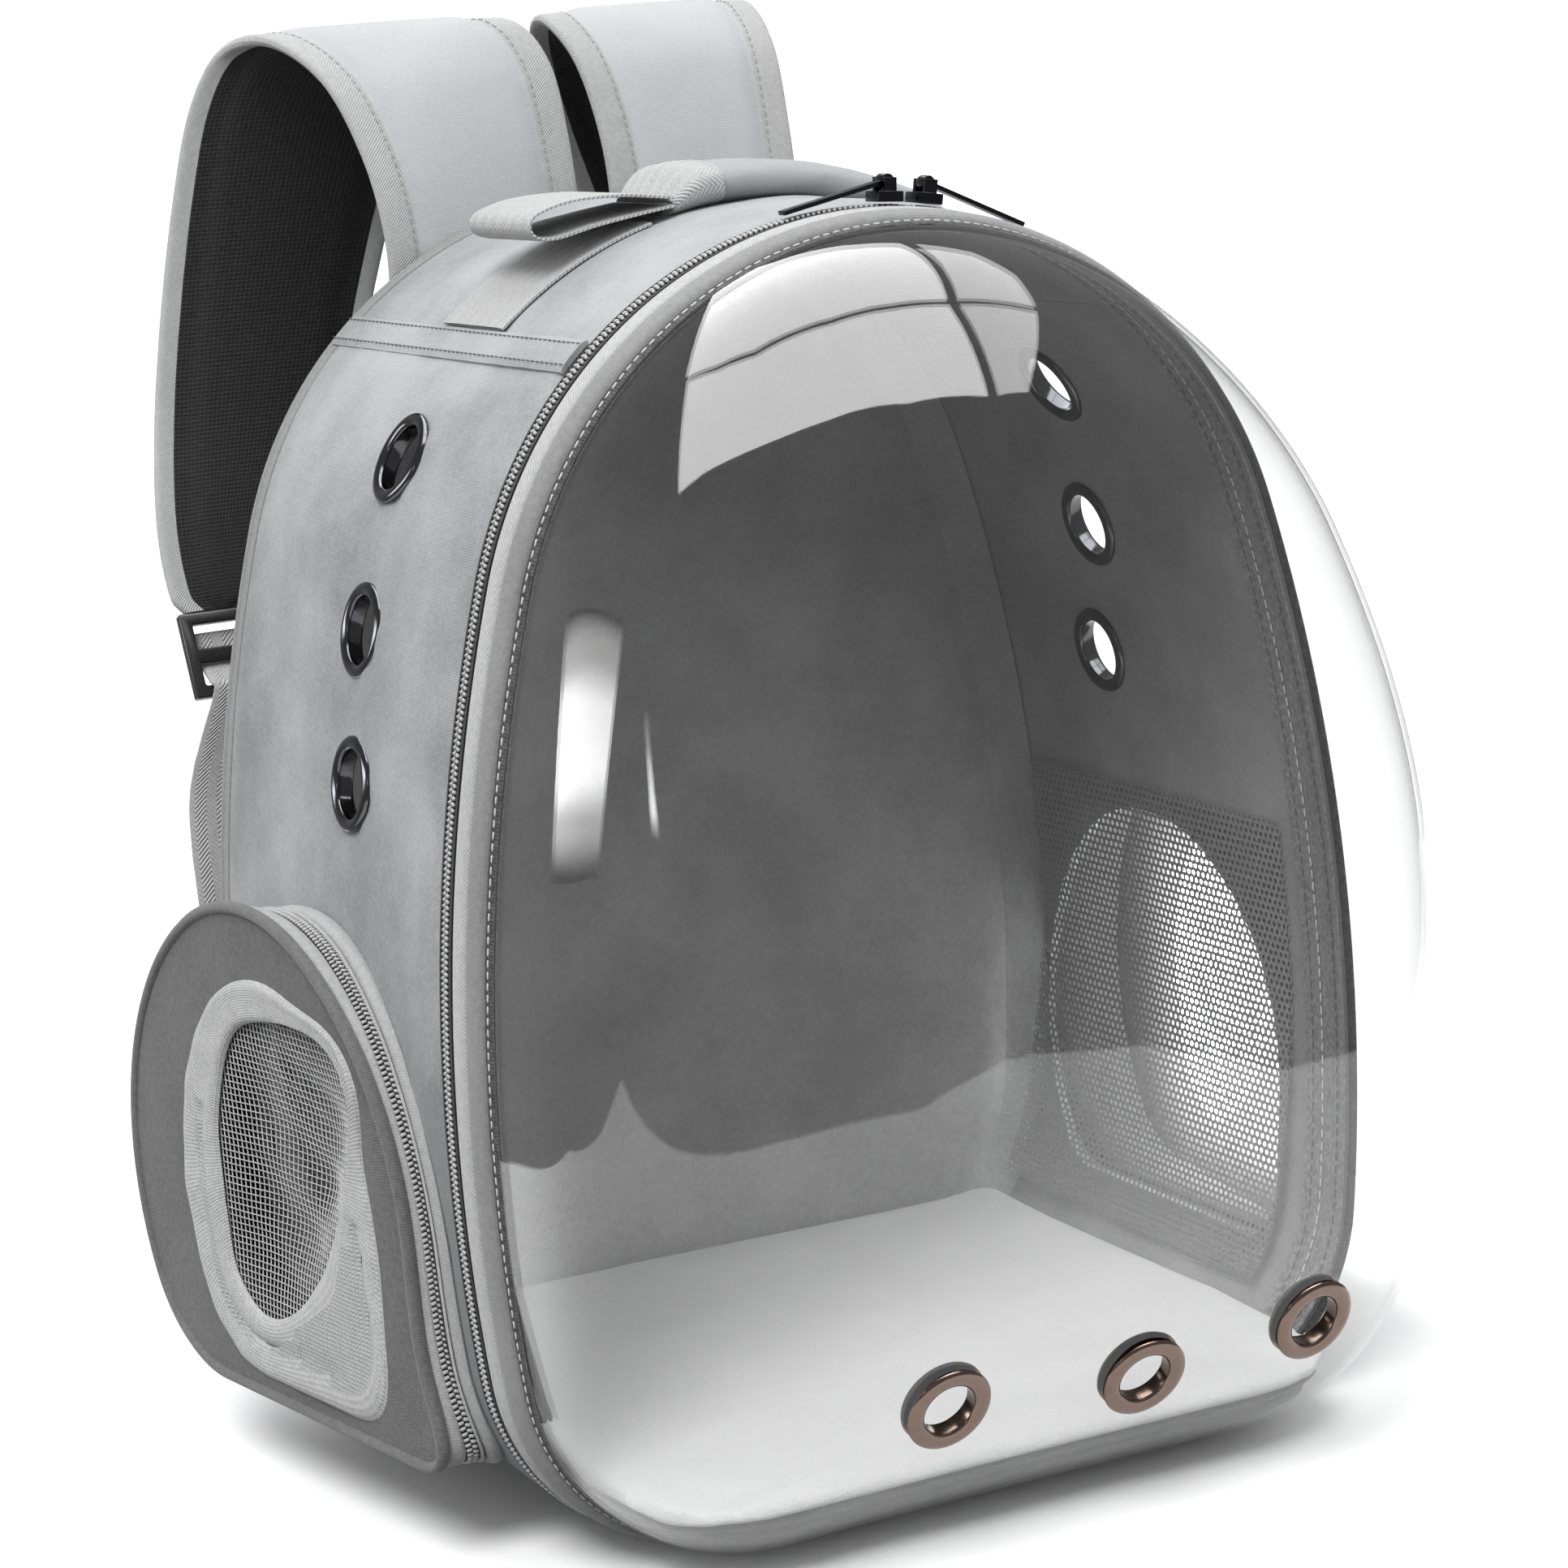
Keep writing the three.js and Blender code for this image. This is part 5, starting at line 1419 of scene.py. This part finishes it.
def build_strap(side, name):
    rows = []
    for left, right, behind, rise, width, left_swing, right_swing in STRAP_ROWS:
        x, swing = (left, left_swing) if side < 0 else (right, right_swing)
        rows.append((x, STRAP_REST + STRAP_THICKNESS / 2 + behind, SHELL["height"] + rise, width, swing))
    line = curve_through(rows, 2.5)
    places = line[:, :3]
    n = len(line)
    m = len(strap_stations(40))
    rings, stitched = [], {-1: [], 1: []}
    for k in range(n):
        along = places[min(k + 1, n - 1)] - places[max(k - 1, 0)]
        along /= np.linalg.norm(along)
        swing = math.radians(line[k, 4])
        wide = np.array((math.cos(swing), math.sin(swing), 0))
        face = np.cross(along, wide)
        face /= np.linalg.norm(face)
        half = line[k, 3] / 2

        def spot(across, height):
            at = tuple(places[k] + wide * across)
            edge = half - abs(across)
            pucker = math.exp(-((edge - BINDING_WIDTH + 2) / 5) ** 2)
            wave = 0.25 * ripple(at, 26, 3.3 + side) + 0.6 * pucker * ripple(at, 6.5, 1.3)
            point = places[k] + wide * across + face * (height + math.copysign(wave, height))
            return (side * point[0], point[1], point[2])

        across = strap_stations(half)
        outer = [spot(place, -strap_face_height(place, half)) for place in across]
        inner = [spot(place, 0.85 * strap_face_height(place, half)) for place in across[::-1]]
        rings.append(outer + inner)
        for edge in (-1, 1):
            place = edge * (half - BINDING_WIDTH + 1.6)
            if half > BINDING_WIDTH + 4:
                point = spot(place, -strap_face_height(place, half) - 0.15)
                stitched[edge].append([*point, -side * face[0], -face[1], -face[2]])

    def kind(i, j):
        if j < m - 1:
            return 0 if FACE_START <= j <= m - 2 - FACE_START else 1
        low = 2 * m - 2 - j
        return 2 if LINING_START <= low <= m - 2 - LINING_START else 1

    strap = grid("strap", rings, [strap_face, strap_binding, strap_lining], closed_v=True, caps=True,
                 material_of=kind)
    lines = [stitches(stitched[edge], thread_mid, 2.2, 3.4, 0.5) for edge in (-1, 1)]
    strap = join(f"strap_{name}", [strap] + lines)
    done(strap, "strap_padding", f"shoulder_strap_{name}")
    build_adjuster(side, name, places)


def node_copy(name, node, material, bevel):
    """A solid of the frame with its edges rounded."""
    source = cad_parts[node]
    mesh = source.data.copy()
    mesh.transform(source.matrix_world)
    tidy = bmesh.new()
    tidy.from_mesh(mesh)
    bmesh.ops.remove_doubles(tidy, verts=tidy.verts, dist=1e-6)
    bmesh.ops.dissolve_limit(tidy, angle_limit=math.radians(2), verts=tidy.verts, edges=tidy.edges)
    tidy.to_mesh(mesh)
    tidy.free()
    mesh.materials.clear()
    mesh.materials.append(material)
    mesh.polygons.foreach_set("material_index", [0] * len(mesh.polygons))
    thing = link(name, mesh)
    soft = thing.modifiers.new("soft", "BEVEL")
    soft.width = bevel * MM
    soft.segments = 3
    soft.limit_method = "ANGLE"
    soft.angle_limit = math.radians(30)
    return smooth(apply_modifiers(thing))


def build_adjuster(side, name, places):
    lock = node_copy(f"adjuster_{name}", f"strap_adjuster_{name}", black_plastic, 0.9)
    done(lock, "black_plastic", f"strap_adjuster_{name}")
    along = places[-1] - places[-2]
    along = np.array((0, along[1], along[2]))
    along /= np.linalg.norm(along)
    across = np.array((1, 0, 0))
    out = np.cross(along, across)
    end = np.array((side * STRAP_ROWS[-1][0], places[-1][1], places[-1][2]))
    height, bar = ADJUSTER["height"], ADJUSTER["bar"]
    slot = (height - 3 * bar) / 2
    if out[1] < 0:
        out = -out

    def local(rise, drop):
        return end + out * rise + along * (GAP + drop)

    clear = ADJUSTER["thickness"] / 2 + GAP + WEBBING_THICKNESS / 2
    middle_bar, low_bar = bar + slot, 2 * (bar + slot)
    threaded = [
        local(clear, middle_bar - slot * 0.75),
        local(clear, middle_bar + bar / 2),
        local(clear, middle_bar + bar),
        local(0, middle_bar + bar + slot / 2),
        local(-clear, low_bar),
        local(-clear, low_bar + bar),
    ]
    rest = STRAP_REST + WEBBING_THICKNESS / 2
    fall = [np.array((side * x, rest + behind, z)) for x, behind, z in WEBBING_ROWS]
    strip = webbing_strip(f"webbing_{name}", threaded + fall, WEBBING_WIDTH, WEBBING_THICKNESS, (1, 0, 0))
    done(strip, "webbing", f"strap_webbing_{name}")


def webbing_strip(name, route, width, thickness, wide, smoothing=True):
    line = curve_through(route, 1.5) if smoothing else np.asarray(route, float)
    wide = np.array(wide, float)
    rings = []
    shares = np.linspace(-1, 1, 13)
    for k in range(len(line)):
        along = line[min(k + 1, len(line) - 1)] - line[max(k - 1, 0)]
        along /= np.linalg.norm(along)
        face = np.cross(along, wide)
        face /= np.linalg.norm(face)
        half = width / 2 + 0.15 * ripple(tuple(line[k]), 5, 2.0)
        thick = [thickness / 2 * (1 - 0.45 * max(abs(s) - 0.9, 0) / 0.1) for s in shares]
        outer = [line[k] + wide * s * half - face * t for s, t in zip(shares, thick)]
        inner = [line[k] + wide * s * half + face * t for s, t in zip(shares[::-1], thick[::-1])]
        rings.append(outer + inner)
    return grid(name, rings, [web], closed_v=True, caps=True)


# Handle

TAPE_WIDTH = 50
TAPE_THICKNESS = 1.4
HANDLE_Y = -9
GRIP_TURNS = (101, 58)
GRIP_THICKNESS = 14
TAPE_LEFT_TURN = 105
# The slack fold's run from the grip's left end: out along the pack, and up from the crown.
BOW_RUN = [
    (1.2, 4.6), (14, 3), (30, 0.6), (44, -2.2), (51.5, -1.2),
    (53.5, 2.6), (50, 6.2), (38, 9.2), (20, 9.6), (1.6, 7.4),
]


def build_handle():
    edge_turn = SEAM_TURN + math.degrees((SEAM_STRIP / 2 + GAP) / shell.crown[2])
    stretches = (("left", TAPE_LEFT_TURN, 180 - edge_turn), ("right", edge_turn, GRIP_TURNS[1] - 0.3))
    for name, first, last in stretches:
        rows = [shell.station(turn) for turn in np.linspace(first, last, 26)]
        route = [np.array(shell_point(row, GAP + 0.9 + TAPE_THICKNESS / 2, HANDLE_Y)) for row in rows]
        strip = webbing_strip(f"crown_tape_{name}", route, TAPE_WIDTH, TAPE_THICKNESS, (0, 1, 0), False)
        done(strip, "webbing", f"handle_tape_{name}")
    end = shell.station(GRIP_TURNS[0])
    route = [np.array((end[0] - out - GAP, HANDLE_Y, end[1] + up)) for out, up in BOW_RUN]
    bow = webbing_strip("handle_fold", route, TAPE_WIDTH, TAPE_THICKNESS, (0, 1, 0))
    done(bow, "webbing", "handle_bow")
    build_grip()


def grip_rings(shares, extra=0.0, sides=40):
    rings = []
    for share in shares:
        row = shell.station(GRIP_TURNS[0] + (GRIP_TURNS[1] - GRIP_TURNS[0]) * share)
        end = min(share, 1 - share)
        swell = 0.42 + 0.58 * ease(end / 0.1) ** 0.6 if end < 0.1 else 1.0
        half = TAPE_WIDTH / 2 * (0.72 + 0.28 * swell)
        thick = GRIP_THICKNESS * swell
        ring = []
        for j in range(sides):
            turn = 2 * math.pi * j / sides
            c, d = math.cos(turn), math.sin(turn)
            across = math.copysign(abs(c) ** 0.8, c) * (half + extra)
            rise = 0.6 + thick * (0.5 + 0.5 * math.copysign(abs(d) ** 0.75, d)) + extra * (d > 0)
            place = (across, share * 100, rise)
            soft = 0.5 * ripple(place, 18, 5.5) + 0.25 * ripple(place, 7, 1.5)
            ring.append(shell_point(row, rise + soft * 0.6, HANDLE_Y + across))
        rings.append(ring)
    return rings


def build_grip():
    grip = grid("handle_pad", grip_rings(np.linspace(0, 1, 65)), [grip_face], closed_v=True, caps=True)
    inflate(grip, 4, 3, 1.5, lambda x, y, z: abs(x - 20) > 40)
    done(grip, "strap_padding", "handle_grip")
    shares = np.linspace(0.0, 0.16, 14)
    outer = grip_rings(shares, 1.3)
    tab = grid("handle_tab", outer, [web], closed_v=True, caps=True)
    line = [[*ring[10], 0, 0, 1] for ring in outer[1:-1]]
    across = [[*place, 0, 0, 1] for place in outer[-2][2:19]]
    lines = [stitches(places, thread_mid, 2.0, 3.0, 0.5) for places in (line, across)]
    done(join("handle_tab", [tab] + lines), "webbing", "handle_grip")


def build_hardware():
    for name, _ in SIDES:
        slider = node_copy(f"slider_{name}", f"zip_slider_{name}", black_metal, 0.5)
        done(slider, "black_metal", f"zip_slider_{name}")
        pull = node_copy(f"pull_{name}", f"zip_pull_{name}", black_metal, 0.35)
        done(pull, "black_metal", f"zip_pull_{name}", body=f"pull_{name}")


# The cabin's back corners: how far their binding reaches in, its start under the shell and its depth.
CORNER_REACH = 11
CORNER_START = -3.6
CORNER_DEPTH = 13


def build_base():
    base = node_copy("base_board", "bottom_panel", dark_cloth_solid, 0.6)
    done(base, "dark_fabric", "bottom_panel")
    for name, side in SIDES:
        rows = [shell.station(turn) for turn in np.linspace(-62, 62, 160)]
        back = SHELL_BACK - BACK_BOARD - GAP
        slope = [(CORNER_START - CORNER_REACH * t, back - CORNER_DEPTH * (1 - t) ** 1.25)
                 for t in np.linspace(0, 1, 12)]
        rings = []
        for row in rows:
            line = []
            for k, (out, y) in enumerate(slope):
                room = math.sin(math.pi * k / 11)
                place = (row[0], y, row[1])
                crease = 1.6 * room * ripple(place, 11, 2.2) + 0.8 * room * ripple(place, 5, 4.1)
                line.append(shell_point(row, out + crease, y - 0.5 * crease))
            for out in (CORNER_START - CORNER_REACH, CORNER_START):
                line.append(shell_point(row, out, back))
            rings.append([(side * x, y, z) for x, y, z in line])
        binding = grid(f"corner_tape_{name}", rings, [shell_inner], closed_v=True, caps=True)
        done(binding, "dark_fabric", f"corner_binding_{name}")


# Camera, floor and lights

CAMERA = {"azimuth": -26.33, "elevation": 10.97, "roll": -4.08, "distance": 1392.3, "lens": 94.36}
CAMERA_TARGET = (-7.26, -40, 225.5)


def build_camera():
    azimuth, elevation = math.radians(CAMERA["azimuth"]), math.radians(CAMERA["elevation"])
    level = math.cos(elevation)
    back = Vector((math.sin(azimuth) * level, -math.cos(azimuth) * level, math.sin(elevation)))
    data = bpy.data.cameras.new("camera")
    data.sensor_width = 36
    data.lens = CAMERA["lens"]
    data.clip_start = 0.05
    data.clip_end = 50
    camera = link("camera", data)
    right = (-back).cross(Vector((0, 0, 1))).normalized()
    up = right.cross(-back)
    roll = math.radians(CAMERA["roll"])
    rolled_right = right * math.cos(roll) + up * math.sin(roll)
    rolled_up = up * math.cos(roll) - right * math.sin(roll)
    turn = Matrix((rolled_right, rolled_up, back)).transposed().to_4x4()
    place = (Vector(CAMERA_TARGET) + back * CAMERA["distance"]) * MM
    camera.matrix_world = Matrix.Translation(place) @ turn
    bpy.context.scene.camera = camera


def add_light(name, kind, energy, aim):
    """A lamp that reflections don't show."""
    data = bpy.data.lights.new(name, kind)
    data.energy = energy
    light = link(name, data)
    light.rotation_mode = "QUATERNION"
    light.rotation_quaternion = Vector(aim).to_track_quat("-Z", "Y")
    light.visible_glossy = False
    return light


# The white table's outline, as the dome's reflections show it. Past it, reflections are dark.
TABLE_EDGE = [
    (-810, -395), (225, -654), (425, -425), (1100, 300), (600, 1200),
    (-200, 700), (-356, 339), (-595, 144), (-674, -155),
]
TABLE_REACH = 9000
SURROUND = 0.30
BACKDROP = 45000
FLOOR = 60000
# Window light above the dome: its near edge, its cross bar and its far edge, left and right of the upright
# bar, in metres.
WINDOW_HEIGHT = 1500
WINDOW_LEFT = [
    [(-0.62, -0.51), (-0.39, -0.63), (-0.08, -0.82), (0.21, -1.00), (0.45, -1.12), (0.83, -1.13)],
    [(-0.43, 0.10), (-0.29, -0.12), (-0.13, -0.29), (0.15, -0.41), (0.38, -0.44), (0.61, -0.44)],
    [(0.40, 2.10), (0.42, 1.75), (0.32, 1.11), (0.38, 0.74), (0.46, 0.52), (0.58, 0.37)],
]
WINDOW_RIGHT = [
    [(0.89, -1.12), (0.97, -1.09), (1.06, -1.07)],
    [(0.66, -0.43), (0.84, -0.40), (1.05, -0.37)],
    [(0.63, 0.33), (0.86, 0.22), (1.00, -0.02)],
]
WINDOW_BAR = 0.022
# Two narrow lights at the left, by their corners in metres.
LEFT_STRIP = [(-0.93, 0.80, 0.18), (-1.36, 0.06, 0.33), (-1.22, -0.18, 0.95), (-0.95, 0.78, 0.56)]
THIN_STRIP = [(-0.98, -0.84, 0.46), (-0.90, -0.92, 0.44), (-1.02, -0.64, 0.76), (-1.08, -0.60, 0.80)]


def unseen(thing, *rays):
    """A studio piece that the named rays pass by."""
    for ray in rays:
        setattr(thing, "visible_" + ray, False)
    return thing


def only_reflected(thing):
    """A studio card that shows in reflections alone."""
    return unseen(thing, "camera", "diffuse", "transmission", "volume_scatter", "shadow")


def set_ramp(ramp, *stops):
    """Sets the two ends of a colour ramp, each a position and a colour."""
    for element, (position, colour) in zip(ramp.color_ramp.elements, stops):
        element.position = position
        element.color = colour


def glow(name, strength, fade=None):
    """Even light, or light that fades along the map's V from one end to the other."""
    look = Look(name)
    emission = look.node("Emission")
    if fade is None:
        emission.inputs["Strength"].default_value = strength
    else:
        parts = look.node("SeparateXYZ")
        look.feed(parts.inputs[0], look.coords.outputs["UV"])
        ramp = look.node("ValToRGB")
        ramp.color_ramp.interpolation = "EASE"
        set_ramp(ramp, (0.0, grey(fade[0])), (1.0, grey(fade[-1])))
        for k, value in enumerate(fade[1:-1], 1):
            element = ramp.color_ramp.elements.new(k / (len(fade) - 1))
            element.color = grey(value)
        look.feed(ramp.inputs[0], parts.outputs[1])
        look.feed(emission.inputs["Strength"], look.math("MULTIPLY", ramp.outputs[0], strength))
    look.tree.nodes.remove(look.shader)
    look.tree.links.new(emission.outputs[0], look.tree.nodes["Material Output"].inputs["Surface"])
    return look.material


def card(name, corners, material, steps=8):
    """A four-cornered card, with its map from 0 to 1. The corners go round it from the low left one."""
    low_left, low_right, high_right, high_left = (np.array(corner, float) for corner in corners)
    shares = np.linspace(0, 1, steps + 1)
    points, faces, uvs = [], [], []
    for t in shares:
        for q in shares:
            low = low_left * (1 - q) + low_right * q
            high = high_left * (1 - q) + high_right * q
            points.append(low * (1 - t) + high * t)
    for i in range(steps):
        for j in range(steps):
            corner_numbers = ((i, j), (i, j + 1), (i + 1, j + 1), (i + 1, j))
            faces.append(tuple(r * (steps + 1) + c for r, c in corner_numbers))
            uvs += [(shares[c] / MM, shares[r] / MM) for r, c in corner_numbers]
    return only_reflected(mesh_piece(name, points, faces, uvs, [material]))


def build_dark_surround():
    points, faces = [], []
    n = len(TABLE_EDGE)
    for x, y in TABLE_EDGE:
        points.append((x, y, 1))
    for x, y in TABLE_EDGE:
        reach = TABLE_REACH / math.hypot(x, y)
        points.append((x * reach, y * reach, 1))
    for k in range(n):
        points.append((*points[n + k][:2], TABLE_REACH * 0.9))
    for k in range(n):
        j = (k + 1) % n
        faces.append((k, j, n + j, n + k))
        faces.append((n + k, n + j, 2 * n + j, 2 * n + k))
    faces.append(tuple(range(2 * n, 3 * n)))
    surround = mesh_piece("dark_surround", points, faces, None, [glow("dark_glow", SURROUND)])
    only_reflected(surround)


def build_window_light():
    for lines, strength, name in ((WINDOW_LEFT, 6.4, "left"), (WINDOW_RIGHT, 4.6, "right")):
        pane_light = glow(f"window_glow_{name}", strength)
        near, middle, far = (np.array(line) for line in lines)
        bar = np.array((0, WINDOW_BAR))
        for number, (low_line, high_line) in enumerate(((near, middle - bar), (middle + bar, far))):
            rows = [low_line + (high_line - low_line) * t for t in np.linspace(0, 1, 9)]
            rings = [[(x * 1000, y * 1000, WINDOW_HEIGHT) for x, y in row] for row in rows]
            only_reflected(grid(f"window_pane_{name}_{number}", rings, [pane_light]))
    card("left_strip", np.array(LEFT_STRIP) * 1000, glow("strip_glow", 10, (0.0, 0.35, 1.0, 0.9, 0.3, 0.0)))
    card("thin_strip", np.array(THIN_STRIP) * 1000, glow("thin_glow", 10, (0.1, 1.0, 0.8, 0.3, 0.1)))


def build_floor():
    """White paper for the camera and the reflections, and a greyer one that throws the light back."""
    look = Look("floor_paper")
    look.set(Base_Color=look.mix(look.noise(0.02, 2, 0.5), grey(0.93), grey(0.95)), Roughness=0.95)
    look.shader.inputs["Specular IOR Level"].default_value = 0.0
    under = Look("floor_bounce")
    under.set(Base_Color=under.mix(under.noise(0.02, 2, 0.5), grey(0.34), grey(0.36)), Roughness=1.0)
    sheets = (
        ("floor", 0, look.material, ("diffuse",)),
        ("floor_under", -0.5, under.material, ("camera", "glossy", "shadow", "transmission")),
    )
    for name, height, material, rays in sheets:
        rings = [[(-FLOOR, y, height), (FLOOR, y, height)] for y in (-FLOOR, FLOOR)]
        unseen(grid(name, rings, [material]), *rays)
    around = [[(BACKDROP * math.cos(t), BACKDROP * math.sin(t), z) for t in round_turns(48)]
              for z in (-1000, BACKDROP * 0.7)]
    backdrop = grid("backdrop", around, [glow("backdrop_glow", 1.02)], closed_v=True, caps=True)
    unseen(backdrop, "diffuse", "glossy", "transmission", "volume_scatter", "shadow")


def build_studio():
    build_floor()
    build_dark_surround()
    build_window_light()
    world = bpy.data.worlds.new("studio")
    bpy.context.scene.world = world
    world.use_nodes = True
    tree = world.node_tree
    coords = tree.nodes.new("ShaderNodeTexCoord")
    parts = tree.nodes.new("ShaderNodeSeparateXYZ")
    ramp = tree.nodes.new("ShaderNodeValToRGB")
    set_ramp(ramp, (0.0, grey(0.55)), (0.9, grey(1.25, (0.99, 0.995, 1.01))))
    tree.links.new(coords.outputs["Generated"], parts.inputs[0])
    tree.links.new(parts.outputs[2], ramp.inputs[0])
    tree.links.new(ramp.outputs[0], tree.nodes["Background"].inputs["Color"])
    key = add_light("key", "SUN", 2.4, (0.55, 0.45, -1.0))
    key.data.angle = math.radians(28)
    # A lamp inside the right pouch stands for the room's light through its net.
    lamp = add_light("pouch_lamp", "AREA", 2.0, (1, 0, 0))
    lamp.data.shape = "RECTANGLE"
    lamp.data.size = 0.10
    lamp.data.size_y = 0.11
    lamp.location = (0.168, -0.004, 0.11)
    bpy.context.scene.view_settings.view_transform = "Standard"


build_camera()
build_studio()
build_sides()
build_seams()
build_piping()
build_back_pad()
build_zip()
build_band()
build_roll()
build_dome()
build_rings()
for side_name, side_sign in SIDES:
    build_pouch(side_sign, side_name)
    build_strap(side_sign, side_name)
build_cushion()
build_pad_base()
build_handle()
build_hardware()
build_base()
